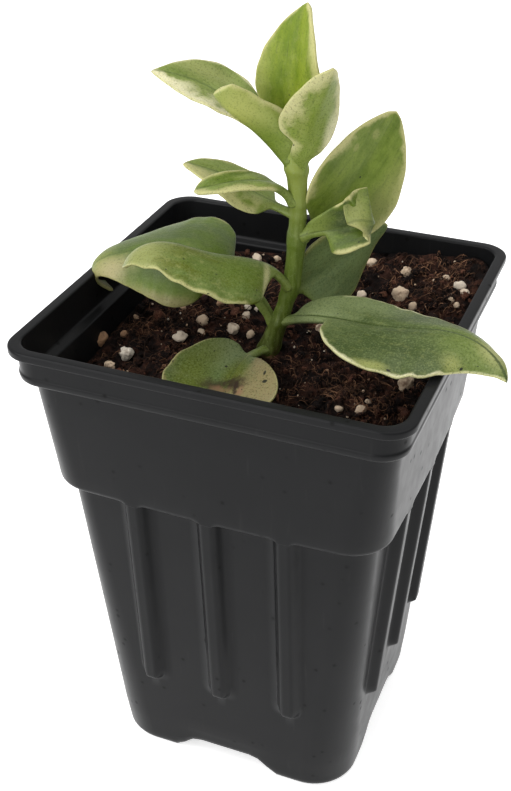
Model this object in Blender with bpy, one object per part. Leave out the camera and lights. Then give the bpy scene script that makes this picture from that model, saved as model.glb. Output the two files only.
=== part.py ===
"""Young variegated trailing ice plant in a square black nursery pot.

Frame: metres, +Z up. The origin is the centre of the pot's base, on the surface that the pot
stands on. The pot's sides face +-X and +-Y. Lengths below are in millimetres and are turned into
metres when a mesh is made.

The plant has a frame of its own, turned about Z: u points to its right, v points away, w points up,
all measured from the foot of the stem at the top of the potting mix.
"""
import math
import random

import bmesh
import bpy
import numpy as np

MM = 0.001
GAP = 0.3

# Pot, a 3 by 4 inch deep square pot. Half widths are measured to the flat of a side.
POT_HEIGHT = 101.8
RIM_HALF = 38.1
RIM_THICKNESS = 1.6
RIM_CORNER = 5.5
WALL = 1.1
BAND_HALF = 36.9
BAND_BOTTOM = 94.6
LEDGE = BAND_BOTTOM - 0.5
UPPER_HALF_TOP = 35.0
UPPER_HALF_BOTTOM = 33.5
UPPER_BOTTOM = 70.5
UPPER_CORNER = 8.0
UPPER_BOW = 0.6
LOWER_HALF_TOP = 30.9
LOWER_HALF_BOTTOM = 26.6
LOWER_CORNER_TOP = 5.6
LOWER_CORNER_BOTTOM = 9.6
CORNER_STEPS = 4

# Three raised ribs on each side of the lower body
RIB_PITCH = 15.2
RIB_HALF = 2.2
RIB_FLANK = 0.3
RIB_RISE_TOP = 2.4
RIB_RISE_BOTTOM = 1.9
RIB_FOOT = 20.6
RIB_ROUND = 4.4
RIB_FOOT_SHARE = 0.45
RIBS_PER_SIDE = 3

# Underside: four corner feet, arches between them, a round centre boss and four drain holes
ARCH_RISE = 4.5
ARCH_HALF = 12.0
ARCH_BLEND = 6.0
FLOOR_TOP = ARCH_RISE + 1.2
BOSS_RADIUS = 7.0
DRAIN_RADIUS = 3.2
DRAIN_DISTANCE = 14.0

# Potting mix
MIX_FOOT = 89.0
MIX_SLOPE = 0.12
MIX_CURVE = 0.0018
MIX_TWIST = 0.0036
MIX_ROUGH = 0.45
MIX_RINGS = (0.95, 0.82, 0.66, 0.5, 0.34, 0.18)
MIX_SEED = 5
HOLE_DEPTH = 14.0
PERLITE_COUNT = 16
PERLITE_RADIUS = (0.8, 1.3)
PERLITE_SUNK = 0.1
LARGE_PERLITE = (
    (-26.4, -11.1, 1.9), (-31.0, 0.5, 1.6), (-28.9, -15.7, 1.3), (-19.0, -2.1, 1.4), (-10.2, 4.3, 1.7),
    (-9.3, 10.1, 1.2), (12.0, 9.0, 1.4), (19.6, 21.4, 1.9), (12.4, 20.5, 1.3), (30.6, 26.1, 1.6),
    (27.8, -2.6, 1.9), (8.5, 31.5, 1.3), (-16.3, 28.6, 1.4), (24.1, -12.6, 1.1), (20.0, 30.5, 1.2),
)

# Plant frame and stem: (u, w, radius) up the stem
PLANT_TURN = math.radians(21.8)
PLANT_FOOT = (-0.9, 0.0, MIX_FOOT)
STEM = (
    (0.0, -13.4, 1.5), (0.0, -6.0, 1.9), (0.0, 0.0, 2.1), (1.1, 3.8, 1.9), (2.3, 7.4, 1.8),
    (3.4, 11.0, 1.5), (4.5, 15.0, 1.7), (5.0, 19.6, 1.65), (5.3, 24.2, 1.75), (5.35, 28.5, 1.5),
    (5.3, 33.1, 1.6), (5.0, 37.0, 1.5), (4.7, 40.8, 1.7), (4.8, 43.4, 1.5), (4.9, 44.8, 0.8),
)
STEM_SIDES = 12

# Leaves. Every one has a stalk and a folded blade.
LEAF_ROOT = 0.6
STALK_HALF = 0.75
STALK_THICK = 1.6
BLADE_THICK = 1.5
TIP_THICK = 0.9
EDGE_THICK = 0.65
FOLD_WIDTH = 2.6
STALK_STATIONS = (0.0, 0.5, 1.0)
BLADE_STATIONS = (0.05, 0.12, 0.22, 0.34, 0.46, 0.58, 0.7, 0.81, 0.91, 0.97, 1.0)
BLADE_ACROSS = (-1.0, -0.55, 0.0, 0.55, 1.0)


def leaf(height, side, stalk, blade, heading, pitch, bank, half, fold_left, fold_right,
         widest=0.45, point=0.8, start=(0.0, 0.0)):
    """One leaf. Angles are in degrees and lengths in millimetres.

    height, side: where it leaves the stem, and the direction of that point from the stem's axis.
    heading, pitch: the midrib's compass direction (0 right, 90 away) and rise, at even steps
    from the stem to the tip. bank: how far the blade is rolled about its midrib, first and last.
    half: greatest width left and right of the midrib, seen from the stem with the upper face up.
    fold_left, fold_right: how far each half is lifted, first and last.
    widest: where along the blade it is broadest. point: small for a blunt tip.
    start: how much later than the blade each half begins, as a share of its length.
    """
    return dict(height=height, side=side, stalk=stalk, blade=blade, heading=heading, pitch=pitch,
                bank=bank, half=half, fold=(fold_left, fold_right), widest=widest, point=point,
                start=start)


LEAVES = {
    "leaf_top_back": leaf(43.2, 90, 3.2, 21.1, (63, 57, 57), (91, 87, 60), (3, 18), (7.3, 6.3),
                          (14, 13), (14, 17), 0.41, 0.93),
    "leaf_top_front": leaf(39.5, -65, 2.5, 19.7, (-80, -51, -38), (63, 65, 65), (40, 5),
                           (4.8, 5.5), (15, 16), (18, 18), 0.49, 0.86),
    "leaf_top_left_front": leaf(39.0, -125, 5.3, 16.8, (-146, -142, -175), (45, 44, 38), (0, -19),
                                (6.6, 6.6), (42, 50), (44, 48), 0.49, 0.3, (0.08, 0.0)),
    "leaf_top_left_back": leaf(38.5, 128, 5.2, 26.2, (162, 162, 170), (50, 32, 1), (0, 26),
                               (5.9, 5.9), (22, 3), (22, 9), 0.52, 1.18),
    "leaf_mid_left_back": leaf(29.0, 137, 4.1, 19.0, (154, 161, 178), (11, 25, 8), (3, 1),
                               (4.8, 4.8), (-20, -2), (4, 14), 0.44, 0.8),
    "leaf_mid_left_front": leaf(31.5, -142, 4.1, 16.7, (-154, -166, -176), (63, 6, -16), (-13, -2),
                                (3.2, 3.2), (-12, -1), (22, 31), 0.57, 0.56),
    "leaf_mid_right_back": leaf(23.6, 45, 3.5, 26.1, (9, 26, 38), (41, 50, 55), (-73, -74),
                                (8.8, 8.8), (34, 11), (19, -2), 0.42, 0.8),
    "leaf_mid_right_front": leaf(23.0, -48, 5.1, 13.3, (-26, -15, -22), (28, 40, 73), (-82, -60),
                                 (4.1, 4.2), (45, 58), (-8, 30), 0.45, 0.75),
    "leaf_low_right_back": leaf(12.5, 60, 1.7, 22.9, (27, 36, 29), (18, 24, 14), (-70, -102),
                                (7.9, 7.9), (23, 10), (13, -11), 0.41, 0.92),
    "leaf_low_right_front": leaf(7.2, -35, 2.9, 50.0, (-40, -44, -32, -74), (26, 13, 11, -35),
                                 (-8, 2), (6.4, 13.0), (37, -41), (29, -38), 0.45, 1.1,
                                 (0.0, 0.17)),
    "leaf_low_left_back": leaf(6.5, 165, 13.0, 31.4, (183, 163, 154, 181), (68, 30, -14, -17),
                               (36, 3), (11.2, 11.2), (-24, -13), (-13, -20), 0.43, 0.53),
    "leaf_low_left_front": leaf(14.0, -124, 6.5, 30.2, (-162, -164, -181, -193), (71, 16, 14, -76),
                                (8, -21), (10.4, 4.0), (-27, -22), (-60, -60), 0.43, 0.68),
    "leaf_base_front": leaf(2.8, -118, 5.2, 19.8, (-131, -110, -98), (5, -11, -10), (-10, -2),
                            (9.3, 13.6), (18, 9), (25, 12), 0.47, 0.49),
}


def clear_scene():
    for old in list(bpy.data.objects):
        bpy.data.objects.remove(old, do_unlink=True)


def material(name, color, roughness):
    mat = bpy.data.materials.new(name)
    mat.use_nodes = True
    shader = mat.node_tree.nodes["Principled BSDF"]
    shader.inputs["Base Color"].default_value = (*color, 1.0)
    shader.inputs["Roughness"].default_value = roughness
    shader.inputs["Metallic"].default_value = 0.0
    mat.diffuse_color = (*color, 1.0)
    return mat


def make_object(name, points, faces, mat, smooth_angle=40.0):
    """A mesh object from points in millimetres."""
    mesh = bpy.data.meshes.new(name)
    mesh.from_pydata([tuple(float(c) * MM for c in p) for p in points], [], faces)
    mesh.validate()
    work = bmesh.new()
    work.from_mesh(mesh)
    bmesh.ops.recalc_face_normals(work, faces=work.faces)
    work.to_mesh(mesh)
    work.free()
    mesh.shade_smooth()
    mesh.set_sharp_from_angle(angle=math.radians(smooth_angle))
    obj = bpy.data.objects.new(name, mesh)
    bpy.context.scene.collection.objects.link(obj)
    if mat:
        mesh.materials.append(mat)
    return obj


def loft(loops, close_first=True, close_last=True):
    """Points and faces of a tube through loops that all have the same number of points."""
    count = len(loops[0])
    points = [tuple(p) for loop in loops for p in loop]
    faces = []
    for k in range(len(loops) - 1):
        for i in range(count):
            j = (i + 1) % count
            faces.append((k * count + i, k * count + j, (k + 1) * count + j, (k + 1) * count + i))
    if close_first:
        faces.append(tuple(reversed(range(count))))
    if close_last:
        faces.append(tuple(range((len(loops) - 1) * count, len(loops) * count)))
    return points, faces


def boolean(target, cutter, operation):
    mod = target.modifiers.new(operation.lower(), "BOOLEAN")
    mod.operation = operation
    mod.solver = "EXACT"
    mod.object = cutter


def apply_modifiers(obj):
    graph = bpy.context.evaluated_depsgraph_get()
    mesh = bpy.data.meshes.new_from_object(obj.evaluated_get(graph))
    obj.modifiers.clear()
    obj.data = mesh


# Pot

def pot_ring(half, corner, height, rib_rise=0.0, rib_half=RIB_HALF, bow=0.0):
    """A rounded square with room for three ribs on every side. height may be a function of x, y."""
    side = []
    crest = rib_half - min(RIB_FLANK, 0.4 * rib_half)
    for k in range(RIBS_PER_SIDE):
        centre = (k - (RIBS_PER_SIDE - 1) / 2) * RIB_PITCH
        for offset, rise in ((-rib_half, 0.0), (-crest, rib_rise), (crest, rib_rise), (rib_half, 0.0)):
            along = centre + offset
            swell = bow * math.cos(0.5 * math.pi * along / half)
            side.append((along, half + rise + swell))
    for k in range(CORNER_STEPS):
        angle = 0.5 * math.pi * k / (CORNER_STEPS - 1)
        side.append((half - corner + corner * math.sin(angle), half - corner + corner * math.cos(angle)))
    ring = []
    for turn in range(4):
        angle = -0.5 * math.pi * turn
        c, s = round(math.cos(angle)), round(math.sin(angle))
        for a, b in side:
            x, y = a * c - b * s, a * s + b * c
            z = height(x, y) if callable(height) else height
            ring.append((x, y, z))
    return ring


def lower_half(height):
    share = height / UPPER_BOTTOM
    return LOWER_HALF_BOTTOM + (LOWER_HALF_TOP - LOWER_HALF_BOTTOM) * share


def foot_height(lift):
    """Height of the bottom edge: lift at the corner feet, raised in an arch between them."""
    def height(x, y):
        along = min(abs(x), abs(y))
        share = min(max((ARCH_HALF - along) / ARCH_BLEND, 0.0), 1.0)
        return lift + (ARCH_RISE - lift) * share * share * (3 - 2 * share)
    return height


def lower_corner(height):
    share = height / UPPER_BOTTOM
    return LOWER_CORNER_BOTTOM + (LOWER_CORNER_TOP - LOWER_CORNER_BOTTOM) * share


def rib_levels(lift):
    """(height, rise, share of the width) down one rib to its rounded foot, raised by lift."""
    foot = RIB_FOOT + lift
    levels = []
    for height in (UPPER_BOTTOM - 0.3, 45.0, foot + RIB_ROUND):
        share = (height - RIB_FOOT) / (UPPER_BOTTOM - RIB_FOOT)
        levels.append((height, RIB_RISE_BOTTOM + (RIB_RISE_TOP - RIB_RISE_BOTTOM) * share, 1.0))
    for share in (0.6, 0.25):
        width = math.sqrt(1 - (1 - share) ** 2)
        levels.append((foot + RIB_ROUND * share, RIB_RISE_BOTTOM * math.sqrt(share), width))
    levels.append((foot, 0.0, RIB_FOOT_SHARE))
    return levels


def lower_rings(inset, narrow=0.0, lift=0.0):
    """Rings down the lower body from under the step to above the feet."""
    rings = []
    for height, rise, width in rib_levels(lift):
        bow = UPPER_BOW * height / UPPER_BOTTOM
        rings.append(pot_ring(lower_half(height) - inset, lower_corner(height) - inset, height,
                              rise, (RIB_HALF - narrow) * width, bow))
    return rings


def build_pot(mat):
    top = POT_HEIGHT
    step = UPPER_BOTTOM
    outer = [
        pot_ring(RIM_HALF - 0.5, RIM_CORNER - 0.5, top),
        pot_ring(RIM_HALF, RIM_CORNER, top - 0.5),
        pot_ring(RIM_HALF, RIM_CORNER, top - RIM_THICKNESS),
        pot_ring(BAND_HALF, RIM_CORNER, top - RIM_THICKNESS),
        pot_ring(BAND_HALF - 0.1, RIM_CORNER, BAND_BOTTOM + 1.0),
        pot_ring(BAND_HALF - 0.6, RIM_CORNER, BAND_BOTTOM + 0.2),
        pot_ring(UPPER_HALF_TOP, RIM_CORNER, BAND_BOTTOM),
        pot_ring(UPPER_HALF_BOTTOM + 0.1, UPPER_CORNER, step + 2.0, bow=UPPER_BOW),
        pot_ring(UPPER_HALF_BOTTOM - 0.35, UPPER_CORNER, step + 0.4, 0.35, RIB_HALF, UPPER_BOW),
        pot_ring(UPPER_HALF_BOTTOM - 0.9, UPPER_CORNER, step, 0.85, RIB_HALF, UPPER_BOW),
    ]
    outer += lower_rings(0.0)
    outer += [
        plain_ring(lower_half(8.0), lower_corner(8.0), 8.0),
        plain_ring(lower_half(0.0), lower_corner(0.0), foot_height(1.8)),
        plain_ring(lower_half(0.0) - 0.4, lower_corner(0.0), foot_height(0.6)),
        plain_ring(lower_half(0.0) - 1.3, lower_corner(0.0) - 0.5, foot_height(0.0)),
        shrunk_ring(16.5, foot_height(0.0)),
        shrunk_ring(13.5, ARCH_RISE),
        circle_ring(BOSS_RADIUS + 0.5, ARCH_RISE),
        circle_ring(BOSS_RADIUS, 0.0),
    ]
    inner = [
        pot_ring(RIM_HALF - 2.2, RIM_CORNER - 1.4, top),
        pot_ring(BAND_HALF - WALL, RIM_CORNER - WALL, top - 0.8),
        pot_ring(BAND_HALF - WALL - 0.1, RIM_CORNER - WALL, BAND_BOTTOM + 0.3),
        pot_ring(UPPER_HALF_TOP - WALL, RIM_CORNER - WALL, LEDGE),
        pot_ring(UPPER_HALF_BOTTOM - WALL, UPPER_CORNER - WALL, step + 2.0, bow=UPPER_BOW),
        pot_ring(UPPER_HALF_BOTTOM - WALL - 0.6, UPPER_CORNER - WALL, step + 0.9, bow=UPPER_BOW),
    ]
    inner += lower_rings(WALL, 0.7 * WALL)
    floor_half = lower_half(FLOOR_TOP) - WALL
    floor_corner = lower_corner(FLOOR_TOP) - WALL
    inner += [
        plain_ring(floor_half, floor_corner, FLOOR_TOP + 1.0),
        plain_ring(floor_half - 1.0, floor_corner, FLOOR_TOP),
    ]
    points, faces = loft(list(reversed(outer)) + inner)
    pot = make_object("pot", points, faces, mat)
    for k in range(4):
        angle = 0.5 * math.pi * k
        x, y = DRAIN_DISTANCE * math.cos(angle), DRAIN_DISTANCE * math.sin(angle)
        hole = round_bar("drain_cutter", (x, y, -5.0), (x, y, FLOOR_TOP + 5.0), DRAIN_RADIUS, 14)
        boolean(pot, hole, "DIFFERENCE")
    return pot


def plain_ring(half, corner, height):
    """A rounded square below the ribs."""
    return pot_ring(half, corner, height, 0.0, RIB_HALF * RIB_FOOT_SHARE)


def shrunk_ring(half, height):
    """The base's outline drawn in towards its centre. The height is that of the point it came from."""
    ring = []
    for x, y, _ in plain_ring(LOWER_HALF_BOTTOM, LOWER_CORNER_BOTTOM, 0.0):
        share = half / LOWER_HALF_BOTTOM
        ring.append((x * share, y * share, height(x, y) if callable(height) else height))
    return ring


def circle_ring(radius, height):
    """A circle whose points keep the bearings of a pot ring, so that the two join cleanly."""
    ring = []
    for x, y, _ in plain_ring(LOWER_HALF_BOTTOM, LOWER_CORNER_BOTTOM, 0.0):
        reach = math.hypot(x, y)
        ring.append((radius * x / reach, radius * y / reach, height))
    return ring


def round_bar(name, start, end, radius, sides):
    """A straight round cutter."""
    start, end = np.array(start), np.array(end)
    axis = (end - start) / np.linalg.norm(end - start)
    across = np.cross(axis, (1.0, 0.0, 0.0))
    across /= np.linalg.norm(across)
    other = np.cross(axis, across)
    loops = []
    for centre in (start, end):
        angles = [2 * math.pi * k / sides for k in range(sides)]
        loops.append([centre + radius * (math.cos(a) * across + math.sin(a) * other) for a in angles])
    points, faces = loft(loops)
    obj = make_object(name, points, faces, None)
    obj.hide_render = True
    obj.display_type = "WIRE"
    return obj


# Potting mix

def mix_height(x, y):
    """Height of the mix before its roughness: lowest at the front, banked up at the back right."""
    lift = MIX_SLOPE * y + MIX_CURVE * y * y + MIX_TWIST * x * max(y, 0.0)
    return MIX_FOOT + lift


def mix_rough(x, y):
    """Crumbly relief, zero at the stem."""
    ripple = (math.sin(0.31 * x + 1.3) * math.sin(0.37 * y + 0.4)
              + 0.7 * math.sin(0.83 * x - 0.52 * y) + 0.5 * math.sin(1.21 * y + 0.9 * x + 2.0))
    fade = min(1.0, math.hypot(x, y) / 12.0)
    return MIX_ROUGH * ripple * fade


def inner_half(height):
    """Half width of the pot's inside between the step and the ledge."""
    share = (height - UPPER_BOTTOM) / (BAND_BOTTOM - UPPER_BOTTOM)
    half = UPPER_HALF_BOTTOM + (UPPER_HALF_TOP - UPPER_HALF_BOTTOM) * min(share, 0.8)
    return half - WALL


def mix_rings():
    base = UPPER_BOTTOM
    floor_half = lower_half(FLOOR_TOP) - WALL
    floor_corner = lower_corner(FLOOR_TOP) - WALL
    rings = [
        plain_ring(floor_half - 1.6, floor_corner - 0.8, FLOOR_TOP + GAP),
        plain_ring(floor_half - 0.5, floor_corner, FLOOR_TOP + 1.5),
    ]
    rings += list(reversed(lower_rings(WALL + GAP, 0.7 * WALL + GAP, 0.6)))
    rings += [
        pot_ring(UPPER_HALF_BOTTOM - WALL - 1.1, UPPER_CORNER - WALL, base + 1.6, bow=UPPER_BOW),
        pot_ring(UPPER_HALF_BOTTOM - WALL - 0.5, UPPER_CORNER - WALL, base + 2.6, bow=UPPER_BOW),
    ]
    edge = pot_ring(inner_half(LEDGE) - 2 * GAP, RIM_CORNER, 0.0)
    rings.append([(x, y, min(mix_height(x, y) - 0.8, LEDGE - 1.0)) for x, y, _ in edge])
    rings.append([(x, y, min(mix_height(x, y) - 0.5, LEDGE + 0.6)) for x, y, _ in edge])
    edge = [bank_out(x, y) for x, y, _ in edge]
    rings.append(edge)
    for share in MIX_RINGS:
        rings.append(surface_ring(edge, share))
    return rings


def surface_ring(edge, share):
    """A ring in the mix's surface, drawn in from its edge and more evenly spaced towards the middle."""
    start = math.atan2(edge[0][1], edge[0][0])
    ring = []
    for k, (x, y, _) in enumerate(edge):
        angle = start - 2 * math.pi * k / len(edge)
        px = share * (share * x + (1 - share) * UPPER_HALF_TOP * math.cos(angle))
        py = share * (share * y + (1 - share) * UPPER_HALF_TOP * math.sin(angle))
        ring.append((px, py, mix_top(px, py)))
    return ring


def bank_out(x, y):
    """An edge point of the mix. Where the mix is banked above the ledge, it spreads over it."""
    height = mix_height(x, y)
    spread = smooth_step((height - LEDGE - 0.3) / 0.8)
    inner = inner_half(LEDGE) - 2 * GAP
    wide = inner + spread * (BAND_HALF - WALL - 2 * GAP - inner)
    ledge = LEDGE + 0.45 * max(wide - UPPER_HALF_TOP + WALL, 0.0) + 1.5 * GAP
    level = max(height - 0.3, ledge) if spread > 0.0 else height - 0.3
    return (x * wide / inner, y * wide / inner, level)


def mix_top(x, y):
    return mix_height(x, y) + mix_rough(x, y)


def perlite_places(rng):
    """(x, y, radius): the large lumps where they lie, then small ones clear of them and the stem."""
    places = list(LARGE_PERLITE)
    reach = inner_half(LEDGE) - 4.0
    while len(places) < len(LARGE_PERLITE) + PERLITE_COUNT:
        x, y = rng.uniform(-reach, reach), rng.uniform(-reach, reach)
        radius = rng.uniform(*PERLITE_RADIUS)
        clear = all(math.hypot(x - a, y - b) > radius + r + 0.8 for a, b, r in places)
        if clear and math.hypot(x - PLANT_FOOT[0], y - PLANT_FOOT[1]) > 5.5:
            places.append((x, y, radius))
    return places


def perlite_lump(rng, index, x, y, radius):
    """A squashed, uneven ball part sunk in the mix."""
    work = bmesh.new()
    bmesh.ops.create_icosphere(work, subdivisions=1, radius=1.0)
    stretch = [radius * rng.uniform(0.75, 1.15) for _ in range(3)]
    turn = rng.uniform(0.0, math.pi)
    z = mix_top(x, y) + PERLITE_SUNK * radius
    points = []
    for vert in work.verts:
        bump = rng.uniform(0.88, 1.12)
        px, py, pz = (vert.co[i] * stretch[i] * bump for i in range(3))
        points.append((x + px * math.cos(turn) - py * math.sin(turn),
                       y + px * math.sin(turn) + py * math.cos(turn), z + pz))
    faces = [tuple(v.index for v in face.verts) for face in work.faces]
    work.free()
    return make_object("perlite_%02d" % index, points, faces, None)


def join_all(target, parts, mats=None):
    """One Boolean union of many small bodies with the target, applied."""
    group = bpy.data.collections.new(target.name + "_parts")
    bpy.context.scene.collection.children.link(group)
    for obj in parts:
        group.objects.link(obj)
        bpy.context.scene.collection.objects.unlink(obj)
    mod = target.modifiers.new("union", "BOOLEAN")
    mod.operation = "UNION"
    mod.solver = "EXACT"
    mod.use_self = False
    mod.operand_type = "COLLECTION"
    mod.collection = group
    apply_modifiers(target)
    for obj in parts:
        bpy.data.objects.remove(obj, do_unlink=True)
    bpy.data.collections.remove(group)


def build_mix(mat):
    points, faces = loft(mix_rings())
    mix = make_object("potting_mix", points, faces, mat)
    rng = random.Random(MIX_SEED)
    lumps = [perlite_lump(rng, k, *place) for k, place in enumerate(perlite_places(rng))]
    join_all(mix, lumps)
    for name, start, end, radius in stem_hole():
        hole = round_bar(name, start, end, radius, 16)
        boolean(mix, hole, "DIFFERENCE")
    return mix


def stem_hole():
    """The plain hole that the stem stands in."""
    x, y, z = PLANT_FOOT
    radius = max(r for _, w, r in STEM if w <= 0.0) + GAP + 0.2
    return [("stem_hole_cutter", (x, y, z - HOLE_DEPTH), (x, y, z + 9.0), radius)]


# Plant

def plant_point(u, v, w):
    """From the plant's frame to the pot's."""
    c, s = math.cos(PLANT_TURN), math.sin(PLANT_TURN)
    return np.array((PLANT_FOOT[0] + c * u - s * v, PLANT_FOOT[1] + s * u + c * v, PLANT_FOOT[2] + w))


def through(values, share):
    """A smooth curve through evenly spaced values."""
    v = np.asarray(values, float)
    x = min(max(share, 0.0), 1.0) * (len(v) - 1)
    i = min(int(x), len(v) - 2)
    f = x - i
    ends = np.concatenate([[2 * v[0] - v[1]], v, [2 * v[-1] - v[-2]]])
    a, b, c, d = ends[i:i + 4]
    return b + 0.5 * f * (c - a + f * (2 * a - 5 * b + 4 * c - d + f * (3 * (b - c) + d - a)))


def stem_axis(height):
    """(u, radius) of the stem at a height."""
    heights = [w for _, w, _ in STEM]
    return (np.interp(height, heights, [u for u, _, _ in STEM]),
            np.interp(height, heights, [r for _, _, r in STEM]))


def stem_tube(name, swell, mat):
    """The stem, or a tube that is larger than it all round by swell."""
    loops = []
    for k, (u, w, radius) in enumerate(STEM):
        if k == len(STEM) - 1:
            w += swell
        loop = []
        for i in range(STEM_SIDES):
            angle = 2 * math.pi * i / STEM_SIDES
            reach = radius + swell
            loop.append(plant_point(u + reach * math.cos(angle), reach * math.sin(angle), w))
        loops.append(loop)
    points, faces = loft(loops)
    return make_object(name, points, faces, mat)


def blade_profile(form, side, share):
    """Width of one half of the blade, 0 to 1."""
    t = (share - form["start"][side]) / (1 - form["start"][side])
    if t <= 0.0 or t >= 1.0:
        return 0.0
    q, b = form["widest"], form["point"]
    a = b * q / (1 - q)
    return (t / q) ** a * ((1 - t) / (1 - q)) ** b


def smooth_step(x):
    x = min(max(x, 0.0), 1.0)
    return x * x * (3 - 2 * x)


def leaf_spine(form, steps=160):
    """Points and directions along the midrib, from the stem to the tip."""
    length = form["stalk"] + form["blade"]
    axis_u, radius = stem_axis(form["height"])
    side = math.radians(form["side"])
    reach = radius - LEAF_ROOT
    point = np.array((axis_u + reach * math.cos(side), reach * math.sin(side), form["height"]))
    out = []
    for k in range(steps + 1):
        share = k / steps
        heading = math.radians(through(form["heading"], share))
        pitch = math.radians(through(form["pitch"], share))
        along = np.array((math.cos(pitch) * math.cos(heading), math.cos(pitch) * math.sin(heading),
                          math.sin(pitch)))
        if k:
            point = point + 0.5 * (along + last) * length / steps
        last = along
        blade_share = max((share * length - form["stalk"]) / form["blade"], 0.0)
        bank = math.radians(form["bank"][0] + (form["bank"][1] - form["bank"][0]) * blade_share)
        level = np.array((math.sin(heading), -math.cos(heading), 0.0))
        upward = np.cross(level, along)
        right = math.cos(bank) * level + math.sin(bank) * upward
        normal = math.cos(bank) * upward - math.sin(bank) * level
        out.append((share * length, point, along, right, normal))
    return out


def leaf_section(form, spine, station, across):
    """One closed loop round the leaf, at a distance from the stem."""
    steps = len(spine) - 1
    length = form["stalk"] + form["blade"]
    index = min(int(round(station / length * steps)), steps)
    _, centre, along, right, normal = spine[index]
    share = max((station - form["stalk"]) / form["blade"], 0.0)
    stalk = STALK_HALF * (1 - smooth_step(1.5 * share))
    thick = STALK_THICK + (BLADE_THICK - STALK_THICK) * smooth_step(4 * share)
    thick = thick + (TIP_THICK - thick) * share * share
    upper, lower = [], []
    for s in across:
        side = 0 if s < 0 else 1
        half = stalk + form["half"][side] * blade_profile(form, side, share) + 0.28
        fold = fold_angle(form, side, share, half)
        reach, lift = curl(fold, abs(s))
        sign = -1.0 if s < 0 else 1.0
        spot = centre + half * (sign * reach * right + lift * normal)
        tilt = fold * (0.4 + 1.2 * abs(s))
        face = math.cos(tilt) * normal - sign * math.sin(tilt) * right
        if s == 0:
            lean = 0.2 * (fold_angle(form, 0, share, half) - fold_angle(form, 1, share, half))
            face = math.cos(lean) * normal + math.sin(lean) * right
        depth = 0.5 * (EDGE_THICK + (thick - EDGE_THICK) * (1 - s * s))
        upper.append(spot + depth * face)
        lower.append(spot - depth * face)
    return upper, lower


def fold_angle(form, side, share, half):
    """How far one half is lifted, in radians. Narrow places, such as the tip, stay flat."""
    first, last = form["fold"][side]
    return math.radians(first + (last - first) * share) * smooth_step((half - 0.4) / FOLD_WIDTH)


def curl(fold, reach, steps=12):
    """Sideways and upward travel along a half blade whose lift grows towards its edge."""
    x = z = 0.0
    for k in range(steps):
        angle = fold * (0.4 + 1.2 * reach * (k + 0.5) / steps)
        x += math.cos(angle) * reach / steps
        z += math.sin(angle) * reach / steps
    return x, z


def build_leaf(name, form, mat):
    spine = leaf_spine(form)
    stations = [s * form["stalk"] for s in STALK_STATIONS]
    stations += [form["stalk"] + s * form["blade"] for s in BLADE_STATIONS]
    across = BLADE_ACROSS
    n = len(across)
    points, faces = [], []
    for station in stations:
        upper, lower = leaf_section(form, spine, station, across)
        points += [plant_point(*p) for p in upper + lower]
    for k in range(len(stations) - 1):
        a, b = k * 2 * n, (k + 1) * 2 * n
        for i in range(n - 1):
            faces += [(a + i, a + i + 1, b + i + 1), (a + i, b + i + 1, b + i)]
            c, d = a + n, b + n
            faces += [(c + i + 1, c + i, d + i + 1), (d + i + 1, c + i, d + i)]
        for i in (0, n - 1):
            top, low = a + i, a + n + i
            faces += [(top, low, b + n + i), (top, b + n + i, b + i)]
    for base in (0, (len(stations) - 1) * 2 * n):
        for i in range(n - 1):
            faces.append((base + i, base + i + 1, base + n + i + 1, base + n + i))
    return make_object(name, [plant for plant in points], faces, mat, 60.0)


def main():
    clear_scene()
    plastic = material("black_plastic", (0.035, 0.036, 0.038), 0.42)
    peat = material("peat_mix", (0.09, 0.045, 0.03), 0.95)
    green_stem = material("stem_green", (0.35, 0.45, 0.14), 0.5)
    build_pot(plastic)
    build_mix(peat)
    stem_tube("stem", 0.0, green_stem)
    sleeve = stem_tube("stem_sleeve_cutter", GAP, None)
    sleeve.hide_render = True
    sleeve.display_type = "WIRE"
    for name, form in LEAVES.items():
        blade = build_leaf(name, form, material(name, (0.36, 0.47, 0.17), 0.45))
        boolean(blade, sleeve, "DIFFERENCE")


main()
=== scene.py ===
"""Looks of a young variegated trailing ice plant in a square black nursery pot, built round its CAD model.

Lengths are in millimetres until a mesh is made. The origin is the centre of the pot's base, +Z up.
The plant has a frame of its own, turned about Z: u points to its right, v points away and w points up,
all measured from the foot of the stem at the top of the potting mix.
"""

import math
import random
from typing import NamedTuple

import bmesh
import bpy
import numpy as np
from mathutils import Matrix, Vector, noise


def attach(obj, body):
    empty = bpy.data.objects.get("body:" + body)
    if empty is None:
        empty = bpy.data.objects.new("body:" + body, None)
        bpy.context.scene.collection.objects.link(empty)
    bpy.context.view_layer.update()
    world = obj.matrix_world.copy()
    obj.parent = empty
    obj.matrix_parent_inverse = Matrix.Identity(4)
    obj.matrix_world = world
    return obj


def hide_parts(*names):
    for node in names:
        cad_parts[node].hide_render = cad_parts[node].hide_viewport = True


MM = 0.001
QUARTER = 0.5 * math.pi

# Camera, fitted to the pot's edges
CAMERA_AZIMUTH = math.radians(21.82)
CAMERA_ELEVATION = math.radians(32.14)
CAMERA_DISTANCE = 303.74
CAMERA_TARGET = (-19.6, 40.09, 50.91)
LENS = 56.71
SENSOR = 36.0

# Floor and lights. Each light: name, place, size and power
FLOOR_HALF = 3000.0
FLOOR_COLOR = (0.86, 0.86, 0.86)
FLOOR_GLOW = 0.65
SKY_LIGHT = 0.75
LIGHT_TARGET = (0.0, 0.0, 90.0)
LIGHTS = (
    ("soft_key", (-500.0, -300.0, 900.0), 700.0, 6.5),
    ("soft_top", (250.0, 200.0, 1000.0), 900.0, 3.0),
    ("soft_front", (-350.0, -950.0, 420.0), 700.0, 6.0),
)

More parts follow.
